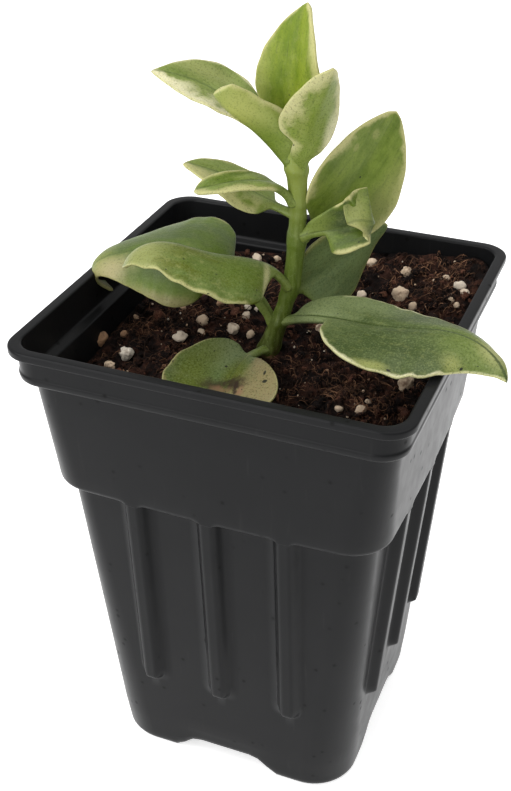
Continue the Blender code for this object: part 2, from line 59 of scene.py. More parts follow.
# Pot, as in the CAD model. Half widths are measured to the flat of a side.
POT_HEIGHT = 101.8
RIM_HALF = 38.1
RIM_THICKNESS = 1.6
RIM_CORNER = 5.5
WALL = 1.1
BAND_HALF = 36.9
BAND_BOTTOM = 94.6
LEDGE = BAND_BOTTOM - 0.5
UPPER_HALF_TOP = 35.0
UPPER_HALF_BOTTOM = 33.5
UPPER_BOTTOM = 70.5
UPPER_CORNER = 8.0
BOW = 0.6
LOWER_HALF_TOP = 30.9
LOWER_HALF_BOTTOM = 26.6
LOWER_CORNER_TOP = 5.6
LOWER_CORNER_BOTTOM = 9.6
RIB_COUNT = 3
RIB_PITCH = 15.2
RIB_HALF = 2.2
RIB_RISE_TOP = 2.4
RIB_RISE_BOTTOM = 1.9
RIB_FOOT = 20.6
RIB_ROUND = 4.4
RIB_FOOT_SHARE = 0.45
RIB_FOOT_SLOPE = 0.55
ARCH_RISE = 4.5
ARCH_HALF = 12.0
ARCH_BLEND = 6.0
FOOT_TOP = 8.0
FOOT_ROUND = 1.8
FOOT_INSET = 1.3
FOOT_INNER = 16.5
ARCH_RUN = 3.0
FLOOR_TOP = ARCH_RISE + 1.2
DRAIN_RADIUS = 3.2
DRAIN_DISTANCE = 14.0
DRAIN_SIDES = 40

# The centre boss under the pot: (radius, depth below the arches)
BOSS = ((7.9, 0.0), (7.5, 0.15), (7.2, 0.6), (7.05, 2.0), (7.0, 4.0), (6.85, 4.35), (6.5, ARCH_RISE))

# How finely the pot is drawn, where a rib's flank lies in half widths of the rib, and how it curves
OUTER_STEP = 2.5
INNER_STEP = 6.0
CORNER_STEPS = 14
FILLET_STEPS = 5
PANEL_STEPS = 5
RIB_FLANK_FROM = 0.5
RIB_FLANK_TO = 1.3
RIB_FLANK_ROUND = 0.5

# Potting mix
MIX_FOOT = 89.0
MIX_SLOPE = 0.12
MIX_CURVE = 0.0018
MIX_TWIST = 0.0036
MIX_ROUGH = 0.45
MIX_GRID = 200
MIX_CLEARANCE = 0.12
MIX_CORNER = 4.5
MIX_EDGE_FADE = 14.0
MIX_EDGE_DROP = 0.3
MIX_SEED = 5
STEM_CLEARANCE = 2.6

# The plug of mix below its top: (half width, corner radius, height)
PLUG = ((32.9, 5.0, 84.0), (32.3, 6.4, 78.0), (31.9, 6.9, 73.0), (31.0, 6.5, 71.9), (29.4, 4.6, 69.5),
        (28.4, 5.6, 50.0), (26.8, 7.2, 25.0), (25.5, 8.0, 7.6), (24.4, 7.4, FLOOR_TOP + 0.3))
PLUG_NECK_HALF = 33.7
PLUG_NECK_DROP = 1.4
PLUG_NECK_SHRINK = 0.996

# Crumbs: name, how many, fineness, smallest and largest radius
CRUMBS = (("peat_crumbs", 2300, 1, 0.2, 0.6), ("peat_clods", 480, 2, 0.45, 1.05))
CHIP_COUNT = 60
CHIP_SHAPE = (1.0, 0.55, 0.22)
CHIP_RADII = (0.7, 1.7)

# Coir fibres, and denser tufts of them: (x, y, spread, how many)
FIBRE_COUNT = 2100
FIBRE_STEPS = 7
FIBRE_SIDES = 4
FIBRE_SHORTEST = 0.9
FIBRE_STRETCH = 4.5
FIBRE_RADII = (0.035, 0.095)
FIBRE_HOPS = (0.1, 0.9)
FIBRE_CURL = 1.8
TUFTS = ((18.0, -7.5, 5.0, 180), (25.0, -11.5, 6.0, 120), (25.0, 28.0, 8.0, 170),
         (-28.5, -1.0, 5.0, 110), (-22.0, 5.0, 7.0, 90), (5.0, -5.0, 8.0, 70))
TUFT_SCALE = 0.7
TUFT_TONE = 0.35

# Perlite: (x, y, radius, tint). Tint 0 is white, 0.5 cream and 1 tan.
PERLITE = (
    (-26.4, -11.1, 1.7, 0.05), (-34.0, -8.1, 1.5, 1.0), (-28.2, -15.2, 1.3, 0.5), (-30.1, -5.1, 0.8, 1.0),
    (-19.2, -1.9, 1.4, 0.25), (-10.2, 4.3, 1.6, 0.3), (-17.0, 4.7, 1.1, 0.6), (-15.7, 1.2, 0.8, 0.4),
    (-31.3, 2.8, 0.7, 0.8), (-9.3, 9.4, 1.0, 0.3), (-23.2, 8.5, 0.9, 0.8), (-16.8, 13.1, 0.8, 0.9),
    (-10.1, 12.1, 0.7, 0.2), (-8.0, 11.6, 0.6, 0.2), (-15.2, 30.2, 1.2, 0.3), (-10.4, 29.6, 0.8, 0.5),
    (10.2, 31.6, 1.1, 0.4), (18.4, 29.8, 1.1, 0.5), (27.2, 28.3, 0.7, 0.4), (30.6, 26.4, 1.2, 0.2),
    (32.0, 24.6, 0.9, 0.3), (29.8, 22.8, 0.7, 0.5), (11.4, 21.6, 1.2, 0.3), (19.6, 21.4, 2.0, 0.45),
    (23.0, 18.6, 1.1, 0.6), (7.4, 8.4, 1.3, 0.4), (27.9, -2.7, 1.9, 0.55), (22.6, -9.0, 0.8, 0.4),
    (22.6, -13.4, 0.9, 0.55), (8.5, 31.0, 1.0, 0.5),
)
SMALL_PERLITE_COUNT = 18
SMALL_PERLITE_RADII = (0.5, 0.95)
FINE_PERLITE_FROM = 1.25
SPECK_COUNT = 150
SPECK_RADII = (0.12, 0.3)

# Stem: (u, w, radius) up its axis
PLANT_TURN = math.radians(21.8)
PLANT_FOOT = (-0.9, 0.0, MIX_FOOT)
STEM = (
    (0.0, -13.4, 1.5), (0.0, -6.0, 2.0), (-0.1, 0.0, 2.3), (1.1, 3.8, 1.9), (2.3, 7.4, 1.8),
    (3.4, 11.0, 1.5), (4.5, 15.0, 1.7), (5.0, 19.6, 1.65), (5.3, 24.2, 1.75), (5.35, 28.5, 1.5),
    (5.3, 33.1, 1.7), (5.1, 37.0, 1.9), (4.8, 40.8, 2.1), (4.8, 43.4, 1.7), (4.9, 44.8, 0.8),
)
STEM_SIDES = 28
STEM_STEP = 0.4
STEM_TRIM = 0.9
STEM_END = 1.3
NODE_SWELL = 0.16
NODE_LENGTH = 0.9

# Leaves: thicknesses, how the stalk joins the stem, the midrib's groove, and how finely they are drawn
LEAF_ROOT = 0.6
STALK_THICK = 1.6
BLADE_THICK = 1.5
TIP_THICK = 0.9
EDGE_THICK = 0.5
FOLD_WIDTH = 2.6
EDGE_MARGIN = 0.28
STATION_STEP = 0.4
ACROSS_STEPS = 26
TIP_ROUND = 0.9
GROOVE_DEPTH = 0.22
GROOVE_HALF = 0.7
SHOULDER = 0.13
FLARE = 0.55
FLARE_LENGTH = 1.6
NECK_ROOT = 0.6
NECK_LENGTH = 4.0
STALK_PALE = 2.5


class Leaf(NamedTuple):
    """One leaf. Angles are in degrees. Lists run at even steps from the stem to the tip."""
    height: float  # where it leaves the stem
    side: float  # the direction of that point from the stem's axis
    stalk: float
    blade: float
    heading: tuple  # the midrib's compass direction, 0 right and 90 away
    pitch: tuple  # the midrib's rise
    bank: tuple  # how far the blade is rolled about its midrib
    half: tuple  # greatest width left and right of the midrib, seen from the stem with the upper face up
    fold: tuple  # how far each half is lifted
    widest: float  # where along the blade it is broadest
    point: tuple  # for each half, small for a blunt tip
    start: tuple = (0.0, 0.0)  # how much later than the blade each half begins, as a share of its length
    neck: float = 0.75  # half width of the stalk
    crease: float = 0.4  # how much of the fold lies at the midrib, 1 for a sharp V
    back: tuple = (0.0, 0.0)  # how far each half's edge is swept back towards the stem
    wave: float = 0.12  # height of the edge's waves
    rise: tuple = (0.0, 0.0)  # how slowly each half widens, 0 where it follows from point and widest
    groove: float = 1.0  # how deep the midrib lies, 1 for the usual depth
    root: float = 1.0  # how thick the stalk's end is, small where the stalk melts into the stem


LEAVES = {
    "leaf_top_back": Leaf(
        43.2, 90, 3.2, 21.1, (63, 57, 57), (91, 87, 60), (3, 18), (7.3, 6.3), ((14, 13), (14, 17)),
        0.41, (0.93, 0.93), neck=1.5),
    "leaf_top_front": Leaf(
        37.6, -80, 3.0, 20.6, (-84, -60, -46, -42), (82, 66, 64, 66), (34, 20, 5), (4.9, 4.8),
        ((15, 16), (14, 22)), 0.36, (0.95, 0.66), start=(0.0, 0.17), neck=1.6, rise=(1.0, 0.5), root=0.1),
    "leaf_top_left_front": Leaf(
        38.4, -165, 2.2, 18.2, (-166, -166, -166, -172), (62, 50, 39, 50), (0, 0, -4), (5.0, 4.3),
        ((80, 80, 78), (84, 84, 82)), 0.16, (0.17, 0.24), neck=1.5, crease=0.8, root=0.6),
    "leaf_top_left_back": Leaf(
        38.5, 128, 5.2, 26.2, (162, 162, 170), (50, 32, 1), (0, 26), (5.9, 5.9), ((22, 3), (22, 9)),
        0.52, (1.18, 1.18), neck=1.1),
    "leaf_mid_left_back": Leaf(
        29.0, 137, 4.1, 19.0, (154, 161, 178), (11, 25, 8), (3, 1), (4.8, 4.8), ((-20, -2), (4, 14)),
        0.44, (0.8, 0.8)),
    "leaf_mid_left_front": Leaf(
        31.5, -142, 4.1, 16.7, (-154, -166, -176), (63, 6, -16), (-13, -2), (3.2, 3.2),
        ((-12, -1), (22, 31)), 0.57, (0.56, 0.56)),
    "leaf_mid_right_back": Leaf(
        23.6, 45, 3.5, 26.1, (9, 26, 38), (41, 50, 55), (-73, -74), (8.8, 8.8), ((34, 11), (19, -2)),
        0.42, (0.8, 0.8)),
    "leaf_mid_right_front": Leaf(
        25.2, -48, 5.0, 14.3, (-20, -18, -15, -12, -10, -10, -20, -140, -183, -175),
        (28, 24, 15, 7, 8, 20, 30, 26, -10, -25), (-70, -60, -58, -58, -75, -108, -128, -128), (4.3, 4.2),
        ((40, 30, 0), (10, 25, 0)), 0.37, (0.35, 1.1), start=(-0.3, 0.0), crease=0.7, rise=(1.0, 0.45)),
    "leaf_low_right_back": Leaf(
        12.5, 60, 1.7, 22.9, (27, 36, 29), (18, 24, 14), (-70, -102), (7.9, 7.9), ((23, 10), (13, -11)),
        0.41, (0.92, 0.92)),
    "leaf_low_right_front": Leaf(
        7.2, -35, 2.9, 50.0, (-40, -44, -32, -74), (26, 13, 11, -35), (-8, 2), (6.4, 13.0),
        ((37, -41), (29, -38)), 0.45, (1.1, 1.1), start=(-0.04, 0.17), neck=1.0, crease=0.9, groove=2.2),
    "leaf_low_left_back": Leaf(
        6.5, 165, 13.0, 38.2, (183, 177, 171, 166, 162, 157, 154, 153, 157, 164, 173, 181, 184, 176),
        (68, 58, 48, 37, 26, 13, -1, -12, -17, -18, -18, -45, -128, -150), (36, 3), (10.5, 10.7),
        ((-24, -13), (-13, -20)), 0.34, (1.35, 1.1), neck=1.05, rise=(0.56, 0.0)),
    "leaf_low_left_front": Leaf(
        14.6, -124, 6.5, 30.2, (-162, -164, -181, -193), (60, 17, 14, -76), (8, -21), (9.9, 4.0),
        ((-27, -22), (-60, -60)), 0.43, (0.68, 0.68), start=(-0.05, 0.0), neck=1.1, rise=(0.45, 0.0),
        wave=0.3),
    "leaf_base_front": Leaf(
        1.1, -118, 5.2, 19.8, (-131, -110, -98), (14, -6, -12), (-10, -2), (9.2, 11.2),
        ((13, 6), (60, 24, 18, 12)), 0.45, (0.49, 0.49), start=(0.02, 0.0), neck=0.8, back=(0.0, 0.8),
        rise=(0.9, 0.75)),
}

# How strongly each surface reflects
PLASTIC_IOR = 1.19
PEAT_IOR = 1.25
LEAF_IOR = 1.32

# How strongly mottling breaks up the leaves' margins, and how ragged patches under and over the frosted
# grain's painted highlights are
MARGIN_MOTTLE = 0.55
RAGGED_UNDER = 0.7
RAGGED_OVER = 2.2

# Colours, linear RGB
# painted shade for the hollows of the mix
PEAT_SHADE = (0.004, 0.002, 0.0016)
YOUNG_GREEN = (0.095, 0.145, 0.003)
YOUNG_LIGHT = (0.16, 0.21, 0.010)
YOUNG_PALE = (0.30, 0.32, 0.08)
SOFT_GREEN = (0.19, 0.245, 0.045)
FRESH_GREEN = (0.135, 0.185, 0.022)
GREEN = (0.078, 0.122, 0.006)
BLUE_GREEN = (0.062, 0.094, 0.022)
DEEP_GREEN = (0.026, 0.044, 0.005)
DEEP_BLUE = (0.034, 0.053, 0.011)
STALK_GREEN = (0.15, 0.195, 0.04)
# painted sheen of the leaves' frosted papillae, also used for their painted highlights
FROST_SHEEN = (0.15, 0.185, 0.078)
CREAM = (0.39, 0.375, 0.16)
PALE_CREAM = (0.56, 0.53, 0.33)
OLIVE_CREAM = (0.22, 0.235, 0.07)
SOFT_CREAM = (0.45, 0.43, 0.21)
SHADED_CREAM = (0.225, 0.205, 0.085)
TIP_CREAM = (0.30, 0.265, 0.125)
FROSTED_GREEN = (0.105, 0.15, 0.052)
BRIGHT_FROST = (0.16, 0.225, 0.078)
BEIGE = (0.235, 0.185, 0.085)
YELLOW_GREEN = (0.085, 0.105, 0.003)
ROT_BROWN = (0.024, 0.012, 0.005)
ROT_PINK = (0.22, 0.12, 0.065)
SPECK = (0.010, 0.012, 0.005)


class Look(NamedTuple):
    """How one leaf is coloured. Each patch and stain is an oval area of colour: (colour, place along and
    across the leaf, half length, half width, softness, strength), across positive to the right."""
    green: tuple
    shade: tuple  # a second green that clouds the first
    cream: tuple  # the margin's colour
    margins: tuple  # the margin's width left and right of the midrib
    patches: tuple = ()
    stains: tuple = ()  # patches that cover the frosted grain's painted highlights and shade too
    specks: float = 0.25  # how many dark specks
    # how strong the painted sheen of the frosted papillae is, in soft clouds and in the fine grain's
    # painted highlights and shade
    frost_sheen: float = 0.5
    rib: float = 0.35  # how dark the painted shade along the midrib's crease is
    zone: float = 0.4  # how strong the olive zone inside the margin is
    blotch: float = 0.25  # how mottled the green is
    veins: float = 0.3  # how dark the fine lines along the blade are


LOOKS = {
    "leaf_top_back": Look(YOUNG_LIGHT, YOUNG_GREEN, CREAM, (0.35, 1.1), (
        (YOUNG_PALE, 14.0, -7.5, 12.0, 1.8, 0.9, 0.5),
        (YOUNG_PALE, 14.0, 7.0, 12.0, 2.0, 0.9, 0.5),
    ), frost_sheen=0.1, rib=0.0, specks=0.0),
    "leaf_top_front": Look(SOFT_GREEN, FRESH_GREEN, SOFT_CREAM, (1.1, 1.7), (
        (FRESH_GREEN, 4.0, 0.0, 5.0, 1.2, 0.8, 0.5),
        (PALE_CREAM, 9.5, -5.2, 4.5, 1.6, 0.7, 0.8),
    ), frost_sheen=0.6, rib=0.0, specks=0.1),
    "leaf_top_left_front": Look(SOFT_GREEN, FRESH_GREEN, SOFT_CREAM, (0.6, 0.5), (
        (YOUNG_PALE, 15.5, -1.5, 5.0, 3.5, 0.9, 0.9),
        (GREEN, 7.0, 0.0, 5.0, 1.6, 0.9, 0.6),
    ), frost_sheen=0.3, rib=0.0, specks=0.2),
    "leaf_top_left_back": Look(SOFT_GREEN, GREEN, PALE_CREAM, (1.7, 0.35), (
        (OLIVE_CREAM, 23.0, 3.0, 5.0, 2.0, 0.8, 0.7),
    ), frost_sheen=0.6, specks=0.2),
    "leaf_mid_left_back": Look(SOFT_GREEN, FRESH_GREEN, CREAM, (1.7, 0.4)),
    "leaf_mid_left_front": Look(SOFT_GREEN, GREEN, CREAM, (0.8, 0.35), frost_sheen=0.6),
    "leaf_mid_right_back": Look(GREEN, FRESH_GREEN, CREAM, (0.9, 0.8), (
        (OLIVE_CREAM, 16.0, 7.0, 7.0, 2.6, 0.8, 0.6),
        (OLIVE_CREAM, 24.0, -2.0, 1.0, 0.8, 0.4, 0.6),
        (OLIVE_CREAM, 20.0, -4.5, 0.8, 0.6, 0.4, 0.6),
    ), frost_sheen=0.1, rib=0.0, specks=0.1, blotch=0.1),
    "leaf_mid_right_front": Look(DEEP_GREEN, GREEN, CREAM, (0.4, 0.8), (
        (OLIVE_CREAM, 17.5, 0.0, 2.2, 5.0, 0.8, 0.7),
    ), frost_sheen=0.4, specks=0.4, zone=0.25),
    "leaf_low_right_back": Look(BRIGHT_FROST, FROSTED_GREEN, OLIVE_CREAM, (0.4, 0.5), frost_sheen=0.6, rib=0.0),
    "leaf_low_right_front": Look(DEEP_GREEN, DEEP_BLUE, PALE_CREAM, (0.3, 0.4), (
        (FRESH_GREEN, 45.0, 0.0, 8.0, 6.0, 0.9, 0.6),
        (OLIVE_CREAM, 28.6, 12.2, 2.6, 1.1, 0.7, 0.9),
        (OLIVE_CREAM, 43.0, 6.2, 2.6, 1.4, 0.9, 0.8),
        # these two patches: painted sheen of the frosted blade, near the stalk and along its left half
        (FROST_SHEEN, 9.0, 0.0, 7.0, 5.5, 0.9, 1.0),
        (FROST_SHEEN, 17.0, -5.0, 8.0, 2.2, 0.9, 0.7),
        (OLIVE_CREAM, 13.0, 7.0, 2.5, 3.0, 0.9, 0.5),
        (CREAM, 47.0, -0.8, 3.2, 2.0, 0.8, 0.6),
    ), (
        (SPECK, 31.5, 12.3, 0.3, 0.22, 0.2, 1.0),
        (SPECK, 45.8, 5.6, 0.28, 0.28, 0.2, 1.0),
    ), frost_sheen=0.9, rib=0.85, zone=0.15),
    "leaf_low_left_back": Look(BLUE_GREEN, GREEN, SHADED_CREAM, (2.9, 0.3), (
        (DEEP_BLUE, 28.0, 4.5, 11.0, 3.4, 0.9, 0.6),
        (OLIVE_CREAM, 43.0, -1.0, 3.0, 6.0, 0.9, 0.6),
        (TIP_CREAM, 40.0, -5.0, 6.0, 3.4, 0.7, 0.9),
        # these two patches: the inner flank's own deep green, darkened further as painted shadow of
        # leaf_low_left_front
        (GREEN, 25.0, -6.0, 11.0, 3.2, 0.5, 1.0),
        (DEEP_GREEN, 24.0, -4.6, 10.0, 2.6, 0.7, 0.85),
    ), frost_sheen=0.35, specks=0.1),
    "leaf_low_left_front": Look(GREEN, YELLOW_GREEN, CREAM, (0.4, 0.4), (
        (OLIVE_CREAM, 31.0, 0.0, 4.5, 12.0, 0.9, 0.95),
        # this patch: deeper green by the stalk end, partly its own and partly painted shade under the
        # cream edge
        (GREEN, 12.5, -4.0, 3.5, 4.0, 0.8, 0.7),
        (SOFT_CREAM, 7.1, -5.5, 0.9, 5.0, 0.5, 0.9),
    ), frost_sheen=0.7, specks=0.5, blotch=0.6),
    "leaf_base_front": Look(DEEP_GREEN, BLUE_GREEN, BEIGE, (13.0, 0.45), (
        # these two patches: painted sheen on the dome's top
        (FROSTED_GREEN, 11.0, 4.5, 6.0, 5.0, 0.9, 1.0),
        (FROST_SHEEN, 8.5, 5.0, 3.5, 5.0, 0.9, 0.9),
        (YELLOW_GREEN, 17.0, 7.0, 9.0, 3.8, 0.7, 0.8),
        (FROSTED_GREEN, 8.0, -1.6, 3.5, 1.2, 0.35, 0.9),
        (YELLOW_GREEN, 12.5, -0.8, 5.0, 2.2, 0.6, 0.9),
    ), (
        (ROT_BROWN, 15.8, -1.4, 1.7, 2.1, 0.7, 0.9),
        (ROT_BROWN, 17.2, 2.4, 1.3, 2.4, 0.8, 0.8),
        (ROT_PINK, 17.9, 0.8, 0.8, 1.6, 0.7, 0.6),
        (ROT_PINK, 18.2, -3.2, 1.1, 0.7, 0.6, 0.8),
        (ROT_BROWN, 17.2, -2.2, 1.7, 0.5, 0.5, 1.0),
        (SPECK, 13.0, -7.0, 0.7, 0.25, 0.2, 1.0),
        (SPECK, 15.5, -7.6, 0.4, 0.5, 0.2, 1.0),
        (SPECK, 11.5, 1.8, 0.3, 0.3, 0.2, 1.0),
    ), specks=0.7, frost_sheen=1.2, zone=0.1),
}


# Small helpers

def ease(x):
    """x held between 0 and 1, with soft ends."""
    x = min(max(x, 0.0), 1.0)
    return x * x * (3 - 2 * x)


def between(value, low, high, at_low, at_high):
    share = min(max((value - low) / (high - low), 0.0), 1.0)
    return at_low + (at_high - at_low) * share


def quarter_turn(a, b, turns):
    """A point turned clockwise by quarter turns."""
    return ((a, b), (b, -a), (-a, -b), (-b, a))[turns]


def spin(angle):
    """The matrix of a turn about the vertical."""
    c, s = math.cos(angle), math.sin(angle)
    return np.array(((c, -s, 0.0), (s, c, 0.0), (0.0, 0.0, 1.0)))


def circle(count):
    """(cosine, sine) of even steps round a circle."""
    angles = [2 * math.pi * k / count for k in range(count)]
    return [(math.cos(angle), math.sin(angle)) for angle in angles]


# Meshes

def new_mesh(name, points, faces):
    """A mesh from points in millimetres, with its faces turned outwards."""
    mesh = bpy.data.meshes.new(name)
    mesh.from_pydata((np.asarray(points, float) * MM).tolist(), [], faces)
    mesh.validate()
    work = bmesh.new()
    work.from_mesh(mesh)
    bmesh.ops.recalc_face_normals(work, faces=work.faces)
    work.to_mesh(mesh)
    work.free()
    return mesh


def add_object(name, data):
    obj = bpy.data.objects.new(name, data)
    bpy.context.scene.collection.objects.link(obj)
    return obj


def make_piece(name, points, faces, mat, nodes, attributes=None):
    """A smooth piece that rides on the body and replaces CAD nodes."""
    mesh = new_mesh(name, points, faces)
    for key, values in (attributes or {}).items():
        values = np.asarray(values, np.float32)
        kind, field = ("FLOAT", "value") if values.ndim == 1 else ("FLOAT_VECTOR", "vector")
        mesh.attributes.new(key, kind, "POINT").data.foreach_set(field, values.ravel())
    mesh.shade_smooth()
    mesh.materials.append(mat)
    obj = add_object(name, mesh)
    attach(obj, "root")
    if nodes:
        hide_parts(*nodes)
    return obj


def loft_faces(loop_count, size):
    """Faces of a closed tube through loops that lie one after another, each of the same size."""
    faces = []
    for k in range(loop_count - 1):
        a, b = k * size, (k + 1) * size
        for i in range(size):
            j = (i + 1) % size
            faces.append((a + i, a + j, b + j, b + i))
    faces.append(tuple(reversed(range(size))))
    faces.append(tuple(range((loop_count - 1) * size, loop_count * size)))
    return faces


class Bodies:
    """Many small closed bodies of the mix gathered into one mesh, with a tone for each."""

    def __init__(self):
        self.points, self.faces, self.tones = [], [], []

    def add(self, points, faces, tone):
        base = len(self.points)
        self.points.extend(tuple(p) for p in points)
        self.faces.extend(tuple(base + i for i in face) for face in faces)
        self.tones.extend([tone] * len(points))

    def piece(self, name, mat):
        make_piece(name, self.points, self.faces, mat, [], {"tone": self.tones})


# Node materials

class Paint:
    """A node material with a few short calls, so that each recipe below reads as a list of steps."""

    def __init__(self, name, base):
        self.mat = bpy.data.materials.new(name)
        self.mat.use_nodes = True
        self.nodes = self.mat.node_tree.nodes
        self.base = base

    def feed(self, socket, value):
        if isinstance(value, bpy.types.NodeSocket):
            self.mat.node_tree.links.new(value, socket)
        elif socket.type == "RGBA":
            socket.default_value = (*value, 1.0)
        else:
            socket.default_value = value

    def node(self, kind, inputs, output=0, **settings):
        """Adds a node and gives one of its outputs."""
        made = self.nodes.new("ShaderNode" + kind)
        for key, value in settings.items():
            setattr(made, key, value)
        for key, value in inputs.items():
            self.feed(made.inputs[key], value)
        return made.outputs[output]

    def math(self, operation, *values):
        return self.node("Math", dict(enumerate(values)), operation=operation)

    def vector(self, operation, *values, output=0):
        return self.node("VectorMath", dict(enumerate(values)), output, operation=operation)

    def place(self):
        """Place on the object in millimetres."""
        return self.vector("MULTIPLY", self.node("TexCoord", {}, "Object"), (1 / MM, 1 / MM, 1 / MM))

    def attribute(self, name, output="Fac"):
        return self.node("Attribute", {}, output, attribute_name=name)

    def noise(self, where, scale, detail=3.0, roughness=0.55):
        """scale: one number, or one for each direction."""
        if isinstance(scale, tuple):
            where, scale = self.vector("MULTIPLY", where, scale), 1.0
        inputs = {"Vector": where, "Scale": scale, "Detail": detail, "Roughness": roughness}
        return self.node("TexNoise", inputs)

    def cells(self, where, scale):
        return self.node("TexVoronoi", {"Vector": where, "Scale": scale}, "Distance")

    def ramp(self, value, low, high, to_high=1.0, to_low=0.0):
        """value from low..high turned smoothly into to_low..to_high."""
        inputs = dict(enumerate((value, low, high, to_low, to_high)))
        return self.node("MapRange", inputs, interpolation_type="SMOOTHSTEP")

    def bump(self, height, strength, depth, **below):
        inputs = {"Height": height, "Strength": strength, "Distance": depth * MM, **below}
        return self.node("Bump", inputs)

    def over(self, share, color):
        """Lays a colour over the base."""
        self.base = self.node("Mix", {0: share, 6: self.base, 7: color}, 2, data_type="RGBA")

    def done(self, **sockets):
        """Sets the shader's sockets, with _ for a space in their names, and gives the material."""
        shader = self.nodes["Principled BSDF"]
        for key, value in {"Base_Color": self.base, **sockets}.items():
            self.feed(shader.inputs[key.replace("_", " ")], value)
        return self.mat


def plastic():
    """Near-black satin plastic with fine dark specks and faint dust."""
    paint = Paint("pot_plastic", (0.0050, 0.0051, 0.0055))
    where = paint.place()
    paint.over(paint.noise(where, 0.06), (0.0085, 0.0087, 0.0092))
    chosen = paint.ramp(paint.noise(where, 0.11, 1.0), 0.44, 0.52)
    spot = paint.math("MULTIPLY", paint.ramp(paint.cells(where, 0.27), 0.18, 0.04, 0.8), chosen)
    paint.over(spot, (0.001, 0.001, 0.001))
    streaks = paint.noise(where, (1.1, 1.1, 0.05))
    paint.over(paint.ramp(streaks, 0.62, 0.8, 0.3), (0.02, 0.0195, 0.019))
    rough = paint.ramp(paint.noise(where, 0.25), 0.3, 0.7, 0.34, 0.29)
    rough = paint.math("MULTIPLY_ADD", spot, 0.3, rough)
    normal = paint.bump(paint.noise(where, 2.4, 2.0), 0.1, 0.03)
    normal = paint.bump(paint.noise(where, (0.8, 0.8, 0.03), 2.0), 0.12, 0.1, Normal=normal)
    return paint.done(Roughness=rough, IOR=PLASTIC_IOR, Normal=normal)


def shade_hollows(paint, where, strength):
    """Painted shade: dark patches of the mix, from noise, that stand for the shade in the hollows between
    its lumps.
    """
    paint.over(paint.ramp(paint.noise(where, 0.2, 3.0, 0.6), 0.52, 0.42, strength), PEAT_SHADE)


def mix_bed():
    paint = Paint("peat_bed", (0.0035, 0.0017, 0.0013))
    where = paint.place()
    clods = paint.noise(where, 0.4, 5.0, 0.7)
    paint.over(paint.ramp(clods, 0.38, 0.66), (0.045, 0.018, 0.011))
    threads = paint.noise(where, (0.9, 3.15, 0.9), 4.0, 0.7)
    paint.over(paint.ramp(threads, 0.58, 0.74, 0.7), (0.075, 0.03, 0.018))
    # lighter fibre strands, brightened as painted highlights
    strands = paint.noise(where, (3.5, 0.9, 1.0), 4.0, 0.7)
    paint.over(paint.ramp(strands, 0.6, 0.7, 0.8), (0.16, 0.07, 0.042))
    flecks = paint.ramp(paint.cells(where, 1.3), 0.13, 0.07)
    chosen = paint.ramp(paint.noise(where, 0.9, 1.0), 0.6, 0.68)
    paint.over(paint.math("MULTIPLY", flecks, chosen), (0.28, 0.22, 0.15))
    shade_hollows(paint, where, 0.8)
    normal = paint.bump(paint.noise(where, 1.4, 6.0, 0.7), 1.0, 0.8)
    return paint.done(Roughness=0.95, IOR=PEAT_IOR, Normal=normal)


def crumb_peat():
    paint = Paint("peat_crumbs", (0.006, 0.0026, 0.002))
    where = paint.place()
    paint.over(paint.ramp(paint.attribute("tone"), 0.25, 1.0), (0.13, 0.052, 0.032))
    # fine grain: lighter fibrous flecks brightened as painted highlights, and near-black flecks of painted
    # shade between them
    fine = paint.noise(where, (2.0, 4.4, 3.2), 5.0, 0.8)
    paint.over(paint.ramp(fine, 0.54, 0.64, 0.85), (0.30, 0.145, 0.085))
    paint.over(paint.ramp(fine, 0.46, 0.36, 0.7), (0.003, 0.0015, 0.0012))
    shade_hollows(paint, where, 0.85)
    return paint.done(Roughness=0.9, IOR=PEAT_IOR, Normal=paint.bump(fine, 1.0, 0.5))


def coir():
    paint = Paint("coir_fibre", (0.012, 0.005, 0.003))
    where = paint.place()
    paint.over(paint.ramp(paint.attribute("tone"), 0.2, 1.0), (0.30, 0.155, 0.085))
    paint.over(paint.ramp(paint.noise(where, 0.8), 0.4, 0.7, 0.6), (0.035, 0.014, 0.009))
    shade_hollows(paint, where, 0.7)
    return paint.done(Roughness=0.75, IOR=PEAT_IOR)


def perlite_grit():
    paint = Paint("perlite", (0.62, 0.56, 0.47))
    where = paint.place()
    tint = paint.attribute("tone")
    paint.over(paint.ramp(tint, 0.0, 0.5), (0.52, 0.4, 0.28))
    paint.over(paint.ramp(tint, 0.5, 1.0), (0.3, 0.17, 0.09))
    paint.over(paint.ramp(paint.noise(where, 0.6, 4.0, 0.65), 0.5, 0.7, 0.8), (0.14, 0.075, 0.04))
    paint.over(paint.ramp(paint.cells(where, 2.6), 0.16, 0.04, 0.5), (0.12, 0.07, 0.04))
    return paint.done(Roughness=0.85, Normal=paint.bump(paint.noise(where, 3.0, 4.0), 0.6, 0.2))


